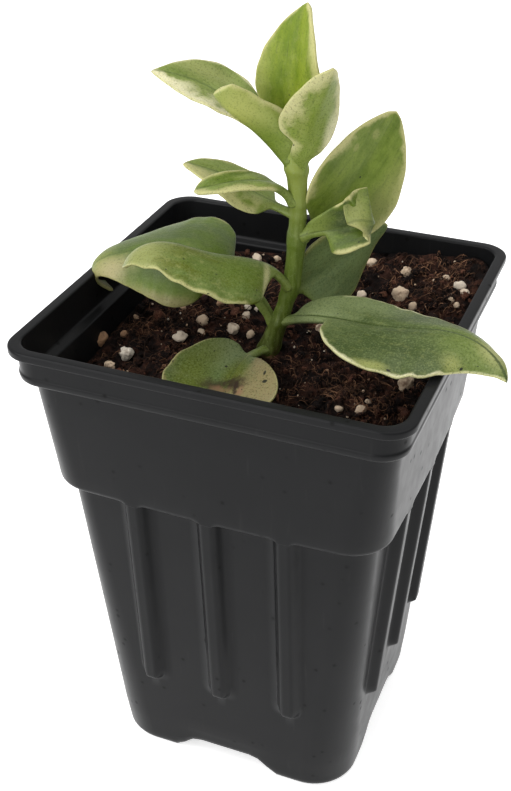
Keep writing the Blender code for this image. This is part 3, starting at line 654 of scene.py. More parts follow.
def stem_skin():
    """Fleshy stem, darkest at its foot and lightest at the top, this gradient being painted shade of the
    plant's lower parts.
    """
    paint = Paint("stem_skin", (0.050, 0.066, 0.007))
    where = paint.place()
    height = paint.node("SeparateXYZ", {0: where}, 2)
    # painted shade: the green lightens with height and is darkest by the mix
    paint.over(paint.ramp(height, MIX_FOOT + 1.0, MIX_FOOT + 14.0), (0.075, 0.112, 0.011))
    paint.over(paint.ramp(height, MIX_FOOT + 22.0, MIX_FOOT + 36.0), (0.17, 0.21, 0.035))
    lines = paint.noise(where, (1.3, 1.3, 0.1))
    paint.over(paint.ramp(lines, 0.45, 0.7, 0.35), (0.2, 0.25, 0.07))
    low = paint.ramp(height, MIX_FOOT + 8.0, MIX_FOOT - 1.0)
    stain = paint.ramp(paint.noise(where, 0.5), 0.5, 0.7, 0.7)
    paint.over(paint.math("MULTIPLY", stain, low), (0.035, 0.018, 0.008))
    grain = paint.noise(where, 2.8, 2.0, 0.7)
    paint.over(paint.ramp(grain, 0.5, 0.75, 0.3), (0.22, 0.27, 0.12))
    normal = paint.bump(lines, 0.25, 0.25, Normal=paint.bump(grain, 0.3, 0.12))
    return paint.done(Roughness=0.45, IOR=LEAF_IOR, Subsurface_Weight=0.1,
                      Subsurface_Radius=(0.0012, 0.0009, 0.0004), Normal=normal)


def lay_patch(paint, on_leaf, patch, edge, ragged):
    """Lays an oval area of colour on a leaf. edge: the noise that makes its outline ragged."""
    color, along, across, length, width, soft, strength = patch
    scale, shift = (1 / length, 1 / width, 0.0), (-along / length, -across / width, 0.0)
    reach = paint.vector("LENGTH", paint.vector("MULTIPLY_ADD", on_leaf, scale, shift), output=1)
    reach = paint.math("ADD", reach, paint.math("MULTIPLY_ADD", edge, ragged, -0.5 * ragged))
    paint.over(paint.ramp(reach, 1.0 + soft, 1.0 - soft, strength), color)


def leaf_skin(name, look, stalk, seed):
    """Fleshy leaf: clouded greens, a soft irregular pale margin, fine frosted grain painted as highlights
    and shade, and a few specks.
    """
    paint = Paint(name, look.green)
    on_leaf = paint.attribute("leaf_place", "Vector")
    where = paint.vector("ADD", on_leaf, (37.0 * seed, 11.0 * seed, 0.0))
    along, across, inward = [paint.node("SeparateXYZ", {0: on_leaf}, axis) for axis in range(3)]
    clouds = paint.noise(where, (0.12, 0.28, 0.0), 4.0, 0.6)
    paint.over(paint.ramp(clouds, 0.36, 0.64), look.shade)
    streak = paint.noise(where, (0.14, 1.3, 0.0), 4.0, 0.6)
    paint.over(paint.ramp(streak, 0.48, 0.72, 0.35), look.shade)
    paint.over(paint.ramp(streak, 0.44, 0.3, look.veins), DEEP_GREEN)
    blotch = paint.noise(where, (0.55, 0.8, 0.0), 3.0, 0.65)
    paint.over(paint.ramp(blotch, 0.5, 0.7, look.blotch), OLIVE_CREAM)
    # painted sheen of the frosted papillae, laid in soft clouds
    paint.over(paint.ramp(clouds, 0.6, 0.4, 0.25 * look.frost_sheen), FROST_SHEEN)
    # the margin: broken up by mottling, with an olive zone between it and the green
    wobble = paint.noise(where, (0.2, 0.2, 0.0))
    mottle = paint.noise(where, 0.9, 3.0, 0.6)
    left, right = look.margins
    width = paint.ramp(across, -0.9, 0.9, right, left)
    width = paint.math("MULTIPLY", width, paint.ramp(wobble, 0.3, 0.7, 1.7, 0.4))
    broken = paint.math("MULTIPLY_ADD", mottle, MARGIN_MOTTLE, -0.5 * MARGIN_MOTTLE)
    depth = paint.math("DIVIDE", inward, paint.math("MAXIMUM", width, 0.05))
    depth = paint.math("ADD", depth, broken)
    paint.over(paint.ramp(depth, 2.6, 1.1, look.zone), OLIVE_CREAM)
    paint.over(paint.ramp(depth, 1.9, 0.3, 0.95), look.cream)
    paint.over(paint.ramp(along, stalk + 3.0, stalk - 1.0), STALK_GREEN)
    for patch in look.patches:
        lay_patch(paint, on_leaf, patch, wobble, RAGGED_UNDER)
    paint.over(paint.ramp(inward, 0.4, 0.05, 0.6), CREAM)
    # painted shade along the midrib's crease
    paint.over(paint.ramp(paint.math("ABSOLUTE", across), 0.34, 0.1, look.rib), DEEP_GREEN)
    # the frosted grain of tiny papillae: painted highlights on their tops and painted shade between them
    grain = paint.noise(paint.place(), 2.7, 3.0, 0.75)
    paint.over(paint.ramp(grain, 0.5, 0.66, 0.55 * look.frost_sheen), FROST_SHEEN)
    paint.over(paint.ramp(grain, 0.5, 0.34, 0.25 + 0.4 * look.frost_sheen), DEEP_GREEN)
    for stain in look.stains:
        lay_patch(paint, on_leaf, stain, blotch, RAGGED_OVER)
    dots = paint.ramp(paint.cells(where, 0.5), 0.13, 0.07)
    limit = 0.63 - 0.16 * look.specks
    chosen = paint.ramp(paint.noise(where, 0.4, 1.0), limit, limit + 0.04)
    paint.over(paint.math("MULTIPLY", dots, chosen), SPECK)
    rough = paint.ramp(grain, 0.3, 0.7, 0.38, 0.5)
    normal = paint.bump(streak, 0.3, 0.3, Normal=paint.bump(grain, 0.3, 0.12))
    return paint.done(Roughness=rough, IOR=LEAF_IOR, Subsurface_Weight=0.12,
                      Subsurface_Radius=(0.0015, 0.0012, 0.0005), Normal=normal)


# Pot

def rounded(corners):
    """Points along a profile of (half width, height, cut), with every corner cut back and rounded."""
    out = []
    for k, (half, height, cut) in enumerate(corners):
        here = np.array((half, height))
        if cut <= 0.0 or k in (0, len(corners) - 1):
            out.append(here)
            continue
        before = np.array(corners[k - 1][:2]) - here
        after = np.array(corners[k + 1][:2]) - here
        first = here + before * min(cut / np.linalg.norm(before), 0.48)
        last = here + after * min(cut / np.linalg.norm(after), 0.48)
        for t in np.arange(FILLET_STEPS + 1) / FILLET_STEPS:
            out.append((1 - t) ** 2 * first + 2 * t * (1 - t) * here + t * t * last)
    return out


def refine(profile, longest):
    """The profile with its long straight stretches divided."""
    out = [profile[0]]
    for a, b in zip(profile, profile[1:]):
        parts = max(int(math.ceil(np.linalg.norm(b - a) / longest)), 1)
        out += [a + (b - a) * (k + 1) / parts for k in range(parts)]
    return out


def side_layout(straight, width):
    """(place along the side, rib weight) across one side, from one corner's start to the other's."""
    flank = np.linspace(RIB_FLANK_FROM, RIB_FLANK_TO, 7)
    offsets = np.concatenate([-flank[::-1], (-0.25, 0.0, 0.25), flank])
    slope = np.clip((RIB_FLANK_TO - np.abs(offsets)) / (RIB_FLANK_TO - RIB_FLANK_FROM), 0.0, 1.0)
    soft = slope * slope * (3 - 2 * slope)
    rib = list(RIB_FLANK_ROUND * soft + (1 - RIB_FLANK_ROUND) * slope)
    edge = RIB_HALF * width * RIB_FLANK_TO
    squeeze = min(1.0, (straight - 0.3) / (RIB_PITCH + RIB_HALF * RIB_FLANK_TO * width))
    centres = [(k - (RIB_COUNT - 1) / 2) * RIB_PITCH * squeeze for k in range(RIB_COUNT)]
    along = list(np.linspace(-straight, centres[0] - edge, PANEL_STEPS + 1, endpoint=False)[1:])
    weight = [0.0] * PANEL_STEPS
    for centre, following in zip(centres, centres[1:] + [straight + edge]):
        along += list(centre + offsets * RIB_HALF * width)
        along += list(np.linspace(centre + edge, following - edge, PANEL_STEPS + 1, endpoint=False)[1:])
        weight += rib + [0.0] * PANEL_STEPS
    return np.array(along), np.array(weight)


def pot_ring(half, corner, height, face=0.0, width=1.0, bow=0.0):
    """A rounded square. face: the half width that the ribs' faces reach. height may be a function."""
    straight = half - corner
    along, weight = side_layout(straight, width)
    swell = bow * np.cos(QUARTER * along / straight)
    reach = half + weight * max(face - half, 0.0) + swell
    angles = np.linspace(0.0, QUARTER, CORNER_STEPS + 1)
    side_x = np.concatenate([along, straight + corner * np.sin(angles)])
    side_y = np.concatenate([reach, straight + corner * np.cos(angles)])
    places = [quarter_turn(a, b, turns) for turns in range(4) for a, b in zip(side_x, side_y)]
    return [(x, y, height(x, y) if callable(height) else height) for x, y in places]


def lower_half(height):
    return between(height, 0.0, UPPER_BOTTOM, LOWER_HALF_BOTTOM, LOWER_HALF_TOP)


def lower_corner(height):
    return between(height, 0.0, UPPER_BOTTOM, LOWER_CORNER_BOTTOM, LOWER_CORNER_TOP)


def upper_half(height):
    return between(height, UPPER_BOTTOM, BAND_BOTTOM, UPPER_HALF_BOTTOM, UPPER_HALF_TOP)


def foot_height(lift, share=0.0, top=FOOT_TOP):
    """Height of the bottom edge: lift at the corner feet, raised in an arch between them.
    share moves it up towards the level ring at top."""
    def height(x, y):
        edge = lift + (ARCH_RISE - lift) * ease((ARCH_HALF - min(abs(x), abs(y))) / ARCH_BLEND)
        return edge + (top - edge) * share
    return height


def rib_form(height):
    """(rise, share of the width) of a rib at a height. It ends below in a rounded foot."""
    rise = between(height, RIB_FOOT, UPPER_BOTTOM, RIB_RISE_BOTTOM, RIB_RISE_TOP)
    share = max((height - RIB_FOOT) / RIB_ROUND, 0.0)
    if share >= 1.0:
        return rise, 1.0
    width = max(math.sqrt(1 - (1 - share) ** 2), RIB_FOOT_SHARE)
    return rise * ease(share / RIB_FOOT_SLOPE), width


def lower_ring(height, half=None, bow=0.0):
    """A ring of the ribbed lower body."""
    rise, width = rib_form(height)
    here = lower_half(height)
    return pot_ring(half or here, lower_corner(height), height, here + rise, width, bow)


def outer_rings():
    under_rim = POT_HEIGHT - RIM_THICKNESS
    profile = rounded((
        (RIM_HALF - 1.1, POT_HEIGHT, 0.0), (RIM_HALF, POT_HEIGHT, 0.5), (RIM_HALF, under_rim, 0.4),
        (BAND_HALF, under_rim, 0.3), (BAND_HALF - 0.08, BAND_BOTTOM + 1.9, 0.3),
        (BAND_HALF + 0.1, BAND_BOTTOM + 1.5, 0.3), (BAND_HALF - 0.1, BAND_BOTTOM, 1.0),
        (UPPER_HALF_TOP, BAND_BOTTOM, 0.3), (UPPER_HALF_BOTTOM, UPPER_BOTTOM, 1.3),
        (LOWER_HALF_TOP + 0.1, UPPER_BOTTOM, 0.6), (lower_half(RIB_FOOT + 6.0), RIB_FOOT + 6.0, 0.0),
    ))
    rings = []
    for half, height in refine(profile, OUTER_STEP):
        bow = BOW * min(height / UPPER_BOTTOM, 1.0) * between(height, UPPER_BOTTOM, BAND_BOTTOM, 1.0, 0.0)
        if height >= BAND_BOTTOM:
            rings.append(pot_ring(half, RIM_CORNER, height))
        elif half > LOWER_HALF_TOP + 0.3:
            slope = between(height, UPPER_BOTTOM + 2.0, BAND_BOTTOM, UPPER_CORNER, RIM_CORNER)
            corner = between(half, LOWER_HALF_TOP, UPPER_HALF_BOTTOM - 0.9, LOWER_CORNER_TOP, slope)
            rings.append(pot_ring(half, corner, height, upper_half(height), 1.0, bow))
        else:
            rings.append(lower_ring(height, half, bow))
    for height in (*np.linspace(RIB_FOOT + 5.5, RIB_FOOT, 16), 18.0, 14.0, 11.0, FOOT_TOP):
        rings.append(lower_ring(height, bow=BOW * height / UPPER_BOTTOM))
    return rings + base_rings()


def base_rings():
    """From the level ring above the feet down round them and in to the centre boss."""
    rings = []
    width = RIB_FOOT_SHARE
    for share in (0.8, 0.6, 0.4, 0.2, 0.0):
        height = FOOT_TOP * share
        level = foot_height(FOOT_ROUND, share)
        rings.append(pot_ring(lower_half(height), lower_corner(height), level, 0.0, width, 0.05))
    for step in (0.25, 0.5, 0.75, 1.0):
        half = LOWER_HALF_BOTTOM - FOOT_INSET * (1 - math.cos(QUARTER * step))
        level = foot_height(FOOT_ROUND * (1 - math.sin(QUARTER * step)))
        rings.append(pot_ring(half, LOWER_CORNER_BOTTOM - 0.5 * step, level, 0.0, width))
    outline = pot_ring(LOWER_HALF_BOTTOM, LOWER_CORNER_BOTTOM, 0.0, 0.0, width)
    for share in (0.0, 0.25, 0.5, 0.75, 1.0):
        scale = (FOOT_INNER - ARCH_RUN * share) / LOWER_HALF_BOTTOM
        level = foot_height(0.0, ease(share), ARCH_RISE)
        rings.append([(x * scale, y * scale, level(x, y)) for x, y, _ in outline])
    for radius, depth in BOSS:
        rings.append([(radius * x / math.hypot(x, y), radius * y / math.hypot(x, y), ARCH_RISE - depth)
                      for x, y, _ in outline])
    return rings


def inner_rings():
    profile = rounded((
        (RIM_HALF - 1.1, POT_HEIGHT, 0.0), (BAND_HALF - WALL + 0.1, POT_HEIGHT, 0.45),
        (BAND_HALF - WALL - 0.1, BAND_BOTTOM + 0.2, 0.6), (UPPER_HALF_TOP - WALL, LEDGE, 0.4),
        (UPPER_HALF_BOTTOM - WALL - 0.1, UPPER_BOTTOM + 1.2, 0.8),
        (LOWER_HALF_TOP - WALL, UPPER_BOTTOM - 0.2, 0.8),
        (lower_half(FLOOR_TOP + 1.0) - WALL, FLOOR_TOP + 1.0, 0.0),
        (lower_half(FLOOR_TOP) - WALL - 1.0, FLOOR_TOP, 0.0),
    ))
    rings = []
    for half, height in refine(profile, INNER_STEP)[1:]:
        bow = 0.0
        if height > LEDGE - 0.5:
            corner = between(height, POT_HEIGHT - 1.0, POT_HEIGHT, RIM_CORNER - WALL, RIM_CORNER - 1.2)
        elif height > UPPER_BOTTOM + 0.8:
            corner = between(height, UPPER_BOTTOM + 2.0, LEDGE, UPPER_CORNER - WALL, RIM_CORNER - WALL)
            bow = between(height, UPPER_BOTTOM, LEDGE, BOW, 0.0)
        else:
            corner = lower_corner(height) - WALL
        width = 1.0 if height > RIB_FOOT else RIB_FOOT_SHARE
        rings.append(pot_ring(half, corner, height, 0.0, width, bow))
    return rings


def drain_cutter(x, y):
    points = [(x + DRAIN_RADIUS * c, y + DRAIN_RADIUS * s, height)
              for height in (-5.0, FLOOR_TOP + 5.0) for c, s in circle(DRAIN_SIDES)]
    return add_object("drain_cutter", new_mesh("drain_cutter", points, loft_faces(2, DRAIN_SIDES)))


def build_pot():
    loops = outer_rings()[::-1] + inner_rings()
    pot = make_piece("nursery_pot", np.concatenate(loops), loft_faces(len(loops), len(loops[0])),
                     plastic(), ["pot"])
    for c, s in circle(4):
        cutter = drain_cutter(DRAIN_DISTANCE * c, DRAIN_DISTANCE * s)
        drain = pot.modifiers.new("drain", "BOOLEAN")
        drain.operation = "DIFFERENCE"
        drain.solver = "EXACT"
        drain.object = cutter
        graph = bpy.context.evaluated_depsgraph_get()
        mesh = bpy.data.meshes.new_from_object(pot.evaluated_get(graph))
        pot.modifiers.clear()
        pot.data = mesh
        bpy.data.objects.remove(cutter, do_unlink=True)


# Potting mix

def mix_height(x, y):
    """Height of the mix before its roughness: lowest at the front, banked up at the back right."""
    return float(MIX_FOOT + MIX_SLOPE * y + MIX_CURVE * y * y + MIX_TWIST * x * max(y, 0.0))


def mix_top(x, y):
    ripple = (math.sin(0.31 * x + 1.3) * math.sin(0.37 * y + 0.4)
              + 0.7 * math.sin(0.83 * x - 0.52 * y) + 0.5 * math.sin(1.21 * y + 0.9 * x + 2.0))
    return mix_height(x, y) + MIX_ROUGH * ripple * min(1.0, math.hypot(x, y) / 12.0)


def inner_half(height):
    """Half width of the pot's inside at a height above the step."""
    low = between(height, UPPER_BOTTOM + 1.2, LEDGE, UPPER_HALF_BOTTOM - WALL, UPPER_HALF_TOP - WALL)
    return between(height, LEDGE + 0.2, LEDGE + 0.7, low, BAND_HALF - WALL - 0.1)


def square_point(u, side, half, corner):
    """A point of a rounded square: side 0 to 3, and u from -1 to 1 along it, corner to corner."""
    straight = half - corner
    travel = abs(u) * (straight + corner * 0.25 * math.pi)
    if travel <= straight:
        a, b = travel, half
    else:
        angle = (travel - straight) / corner
        a, b = straight + corner * math.sin(angle), straight + corner * math.cos(angle)
    return quarter_turn(math.copysign(a, u), b, side)


def around(k):
    """(u, side) of the k-th point round the mix, for square_point."""
    side, step = divmod(k, MIX_GRID)
    return -1.0 + 2.0 * step / MIX_GRID, side


def mix_border():
    """The top edge of the mix, where it meets the pot's wall."""
    border = []
    for k in range(4 * MIX_GRID):
        half = inner_half(LEDGE)
        for _ in range(4):
            x, y = square_point(*around(k), half - MIX_CLEARANCE, RIM_CORNER)
            half = inner_half(mix_height(x, y))
        border.append((x, y))
    return border


def edge_of(border, a, b):
    """The border point in the direction of a point on the grid's own square edge."""
    for side, (out, run) in enumerate(((b, a), (a, -b), (-b, -a), (-a, b))):
        if out >= abs(run) - 1e-9:
            break
    place = (side + 0.5 * (run + 1.0)) * MIX_GRID
    k = math.floor(place)
    first, last = border[k % len(border)], border[(k + 1) % len(border)]
    return [p + (q - p) * (place - k) for p, q in zip(first, last)]


def crumbly(x, y, z):
    """Fine relief of the peat at a place."""
    here = Vector((x, y, z))
    lumps = noise.noise(here * 0.45) * 0.55 + noise.noise(here * 1.1 + Vector((9.0, 0.0, 4.0))) * 0.4
    grains = 0.5 - noise.voronoi(here * 0.9)[0][0]
    fine = 0.5 - noise.voronoi(here * 2.1)[0][0]
    return lumps + 0.5 * grains + 0.22 * fine


def bed_point(border, a, b):
    """A point of the mix's top. a and b run from -1 to 1 across it."""
    level = max(abs(a), abs(b))
    if level == 0.0:
        x = y = 0.0
    else:
        x, y = [c * level for c in edge_of(border, a / level, b / level)]
    fade = min(1.0, (1.0 - level) * MIX_EDGE_FADE)
    if fade <= 0.0:
        return x, y, mix_height(x, y) - MIX_EDGE_DROP
    z = mix_top(x, y)
    return x, y, z + crumbly(x, y, z) * fade - MIX_EDGE_DROP * (1 - fade)


def plug_neck(x, y, z, k):
    """The plug's first ring below the top edge, tucked under the pot's ledge where it stands above it."""
    low = min(z, LEDGE) - PLUG_NECK_DROP
    if z > LEDGE:
        return (*square_point(*around(k), PLUG_NECK_HALF, RIM_CORNER), low)
    return x * PLUG_NECK_SHRINK, y * PLUG_NECK_SHRINK, low


def build_mix():
    size = MIX_GRID
    border = mix_border()
    steps = [2.0 * i / size - 1.0 for i in range(size + 1)]
    points = [bed_point(border, a, b) for b in steps for a in steps]
    row = size + 1
    faces = [(k, k + 1, k + row + 1, k + row) for j in range(size) for k in range(j * row, j * row + size)]
    ring = [i + size * row for i in range(size)] + [size + j * row for j in range(size, 0, -1)]
    ring += [*range(size, 0, -1)] + [j * row for j in range(size)]
    loops = [[plug_neck(*points[i], k) for k, i in enumerate(ring)]]
    for half, corner, level in PLUG:
        loops.append([(*square_point(*around(k), half, corner), level) for k in range(4 * size)])
    for loop in loops:
        fresh = list(range(len(points), len(points) + len(loop)))
        points += loop
        faces += zip(ring, ring[1:] + ring[:1], fresh[1:] + fresh[:1], fresh)
        ring = fresh
    faces.append(tuple(ring))
    make_piece("peat_bed", points, faces, mix_bed(), ["potting_mix"])


def ball(levels):
    work = bmesh.new()
    bmesh.ops.create_icosphere(work, subdivisions=levels, radius=1.0)
    points = np.array([tuple(v.co) for v in work.verts])
    faces = [tuple(v.index for v in face.verts) for face in work.faces]
    work.free()
    return points, faces


def turned(points, rng):
    """Points turned at random about the vertical, with a tilt."""
    turn, tilt = rng.uniform(0.0, 2 * math.pi), rng.uniform(-0.6, 0.6)
    c, s = math.cos(tilt), math.sin(tilt)
    lean = np.array(((1.0, 0.0, 0.0), (0.0, c, -s), (0.0, s, c)))
    return points @ (spin(turn) @ lean).T


def lump(points, rng, radius, rough, pits=0.0):
    """An uneven ball of the given radius, pitted where pits is above 0."""
    offset = Vector([rng.uniform(0.0, 60.0) for _ in range(3)])
    reach = []
    for point in points:
        here = Vector(point)
        swell = 1.0 + rough * noise.noise(here * 1.3 + offset)
        swell += 0.5 * rough * noise.noise(here * 3.1 + offset)
        if pits:
            swell -= pits * max(0.0, 0.42 - noise.voronoi(here * 2.3 + offset)[0][0])
        reach.append(swell)
    points = points * np.array(reach)[:, None]
    points = points * [rng.uniform(0.72, 1.15) for _ in range(3)]
    return turned(points * radius, rng)


def on_mix(rng, inset=1.2):
    """A random place on the mix, clear of the stem."""
    widest = BAND_HALF - WALL
    while True:
        x, y = rng.uniform(-widest, widest), rng.uniform(-widest, widest)
        reach = inner_half(mix_height(x, y)) - inset
        if max(abs(x), abs(y)) > reach:
            continue
        past = [max(abs(c) - reach + MIX_CORNER, 0.0) for c in (x, y)]
        if math.hypot(*past) > MIX_CORNER:
            continue
        if math.hypot(x - PLANT_FOOT[0], y) > STEM_CLEARANCE:
            return x, y


def over_mix(x, y, lift):
    return np.array((x, y, mix_top(x, y) + lift))


def build_crumbs(rng, name, count, fineness, low, high):
    """Crumbs of peat with radii from low to high, mostly small."""
    made = Bodies()
    points, faces = ball(fineness)
    for _ in range(count):
        x, y = on_mix(rng)
        radius = low + (high - low) * rng.random() ** 2
        crumb = lump(points, rng, radius, 0.9)
        crumb = crumb + over_mix(x, y, radius * rng.uniform(0.1, 0.7))
        made.add(crumb, faces, rng.random() ** 1.7)
    made.piece(name, crumb_peat())


def tube(path, radii):
    """Points of a thin tube along a path."""
    path = np.asarray(path)
    points = []
    for k, centre in enumerate(path):
        ahead = path[min(k + 1, len(path) - 1)] - path[max(k - 1, 0)]
        ahead /= np.linalg.norm(ahead)
        across = np.cross(ahead, (0.0, 0.0, 1.0))
        if np.linalg.norm(across) < 1e-6:
            across = np.array((1.0, 0.0, 0.0))
        across /= np.linalg.norm(across)
        other = np.cross(across, ahead)
        points += [centre + radii[k] * (c * across + s * other) for c, s in circle(FIBRE_SIDES)]
    return points


def fibre_path(rng, x, y, length, hop):
    """A curved thread that lies on the mix and hops over its lumps."""
    heading = rng.uniform(0.0, 2 * math.pi)
    bend = rng.uniform(-FIBRE_CURL, FIBRE_CURL)
    path = []
    for k in range(FIBRE_STEPS):
        share = k / (FIBRE_STEPS - 1)
        lift = 0.25 + hop * math.sin(math.pi * share) + 0.25 * noise.noise(Vector((x, y, 7.0)) * 0.6)
        path.append((x, y, mix_top(x, y) + lift))
        heading += bend / FIBRE_STEPS + rng.uniform(-0.6, 0.6)
        x += math.cos(heading) * length / FIBRE_STEPS
        y += math.sin(heading) * length / FIBRE_STEPS
    return path


def build_fibres(rng):
    made = Bodies()
    starts = [(*on_mix(rng, 2.0), 1.0, 0.0) for _ in range(FIBRE_COUNT)]
    for x, y, spread, count in TUFTS:
        starts += [(x + rng.gauss(0.0, 0.5) * spread, y + rng.gauss(0.0, 0.5) * spread, TUFT_SCALE,
                    TUFT_TONE) for _ in range(count)]
    faces = loft_faces(FIBRE_STEPS, FIBRE_SIDES)
    for x, y, scale, tone in starts:
        length = (FIBRE_SHORTEST + FIBRE_STRETCH * rng.random() ** 2) * scale
        path = fibre_path(rng, x, y, length, rng.uniform(*FIBRE_HOPS))
        if any(max(abs(p[0]), abs(p[1])) > inner_half(p[2] - 0.6) - 0.6 for p in path):
            continue
        radius = rng.uniform(*FIBRE_RADII)
        radii = [radius * (0.35 + 0.65 * math.sin(math.pi * (0.12 + 0.76 * k / (FIBRE_STEPS - 1))))
                 for k in range(FIBRE_STEPS)]
        made.add(tube(path, radii), faces, tone + (1 - tone) * rng.random() ** 1.3)
    made.piece("coir_fibres", coir())


def build_chips(rng):
    """Flat chips of bark."""
    made = Bodies()
    points, faces = ball(2)
    for _ in range(CHIP_COUNT):
        x, y = on_mix(rng, 2.5)
        radius = rng.uniform(*CHIP_RADII)
        chip = lump(points * CHIP_SHAPE, rng, radius, 0.4) + over_mix(x, y, 0.45 + 0.2 * radius)
        made.add(chip, faces, 0.35 + 0.5 * rng.random())
    made.piece("bark_chips", crumb_peat())


def build_perlite(rng):
    """Granules at their places, some small ones at random, and fine white specks."""
    made = Bodies()
    places = list(PERLITE)
    while len(places) < len(PERLITE) + SMALL_PERLITE_COUNT:
        x, y = on_mix(rng, 1.5)
        places.append((x, y, rng.uniform(*SMALL_PERLITE_RADII), rng.uniform(0.1, 0.9)))
    for x, y, radius, tint in places:
        points, faces = ball(4 if radius > FINE_PERLITE_FROM else 3)
        made.add(lump(points, rng, radius, 0.28, 0.14) + over_mix(x, y, 0.5 * radius), faces, tint)
    points, faces = ball(1)
    for _ in range(SPECK_COUNT):
        x, y = on_mix(rng, 1.5)
        speck = lump(points, rng, rng.uniform(*SPECK_RADII), 0.4) + over_mix(x, y, 0.5)
        made.add(speck, faces, rng.uniform(0.1, 0.8))
    made.piece("perlite", perlite_grit())


# Plant

def plant_points(points):
    """From the plant's frame to the pot's."""
    return np.asarray(points, float) @ spin(PLANT_TURN).T + np.array(PLANT_FOOT)


def through(values, share):
    """A smooth curve through evenly spaced values."""
    v = np.asarray(values, float)
    x = min(max(share, 0.0), 1.0) * (len(v) - 1)
    i = min(int(x), len(v) - 2)
    f = x - i
    ends = np.concatenate([[2 * v[0] - v[1]], v, [2 * v[-1] - v[-2]]])
    a, b, c, d = ends[i:i + 4]
    return b + 0.5 * f * (c - a + f * (2 * a - 5 * b + 4 * c - d + f * (3 * (b - c) + d - a)))


def stem_axis(height):
    """(u, radius) of the stem at a height."""
    us, heights, radii = zip(*STEM)
    return np.interp(height, heights, us), np.interp(height, heights, radii)


def stem_loop(u, w, r):
    loop = []
    for k, (c, s) in enumerate(circle(STEM_SIDES)):
        angle = 2 * math.pi * k / STEM_SIDES
        reach = r * (1 + 0.035 * math.cos(4 * angle + 0.05 * w) + 0.03 * math.sin(7 * angle + 0.3 * w))
        loop.append((u + reach * c, reach * s, w))
    return loop


def build_stem():
    heights = np.arange(STEM[0][1], STEM[-1][1] - STEM_TRIM, STEM_STEP)
    us, rs = stem_axis(heights)
    soften = np.array((1.0, 2.0, 3.0, 2.0, 1.0)) / 9.0
    pad = len(soften) // 2
    for _ in range(2):
        us = np.convolve(np.pad(us, pad, "edge"), soften, "valid")
        rs = np.convolve(np.pad(rs, pad, "edge"), soften, "valid")
    for leaf in LEAVES.values():
        rs = rs + NODE_SWELL * np.exp(-((heights - leaf.height) / NODE_LENGTH) ** 2)
    loops = [stem_loop(u, w, r) for u, w, r in zip(us, heights, rs)]
    for k in range(1, 7):
        angle = QUARTER * k / 6.3
        loops.append(stem_loop(us[-1], heights[-1] + STEM_END * math.sin(angle), rs[-1] * math.cos(angle)))
    make_piece("stem_skin", plant_points(np.concatenate(loops)), loft_faces(len(loops), STEM_SIDES),
               stem_skin(), ["stem"])


def blade_profile(leaf, side, share):
    """Width of one half of the blade, 0 to 1."""
    t = (share - leaf.start[side]) / (1 - leaf.start[side])
    if t <= 0.0 or t >= 1.0:
        return 0.0
    q, b = leaf.widest, leaf.point[side]
    a = leaf.rise[side] or b * q / (1 - q)
    return (t / q) ** a * ((1 - t) / (1 - q)) ** b * ease(0.25 + t / SHOULDER)


def leaf_spine(leaf, stations):
    """(point, along, right, normal) on the midrib at each station, from the stem to the tip."""
    length = leaf.stalk + leaf.blade
    axis_u, radius = stem_axis(leaf.height)
    side = math.radians(leaf.side)
    reach = radius - LEAF_ROOT
    point = np.array((axis_u + reach * math.cos(side), reach * math.sin(side), leaf.height))
    out = []
    last, last_station = None, 0.0
    for station in stations:
        heading = math.radians(through(leaf.heading, station / length))
        pitch = math.radians(through(leaf.pitch, station / length))
        along = np.array((math.cos(pitch) * math.cos(heading), math.cos(pitch) * math.sin(heading),
                          math.sin(pitch)))
        if last is not None:
            point = point + 0.5 * (along + last) * (station - last_station)
        last, last_station = along, station
        bank = math.radians(through(leaf.bank, max((station - leaf.stalk) / leaf.blade, 0.0)))
        level = np.array((math.sin(heading), -math.cos(heading), 0.0))
        upward = np.cross(level, along)
        right = math.cos(bank) * level + math.sin(bank) * upward
        normal = math.cos(bank) * upward - math.sin(bank) * level
        out.append((point, along, right, normal))
    return out


def fold_angle(leaf, side, share, half):
    """How far one half is lifted, in radians. Narrow places, such as the tip, stay flat."""
    return math.radians(through(leaf.fold[side], share)) * ease((half - 0.4) / FOLD_WIDTH)


def curl(fold, reach, crease):
    """Sideways and upward travel along a half blade whose lift grows towards its edge."""
    gain = 2.0 * (1.0 - crease) * fold
    start, end = crease * fold, crease * fold + gain * reach
    if abs(gain) < 1e-3:
        return reach * math.cos(start), reach * math.sin(start)
    return (math.sin(end) - math.sin(start)) / gain, (math.cos(start) - math.cos(end)) / gain


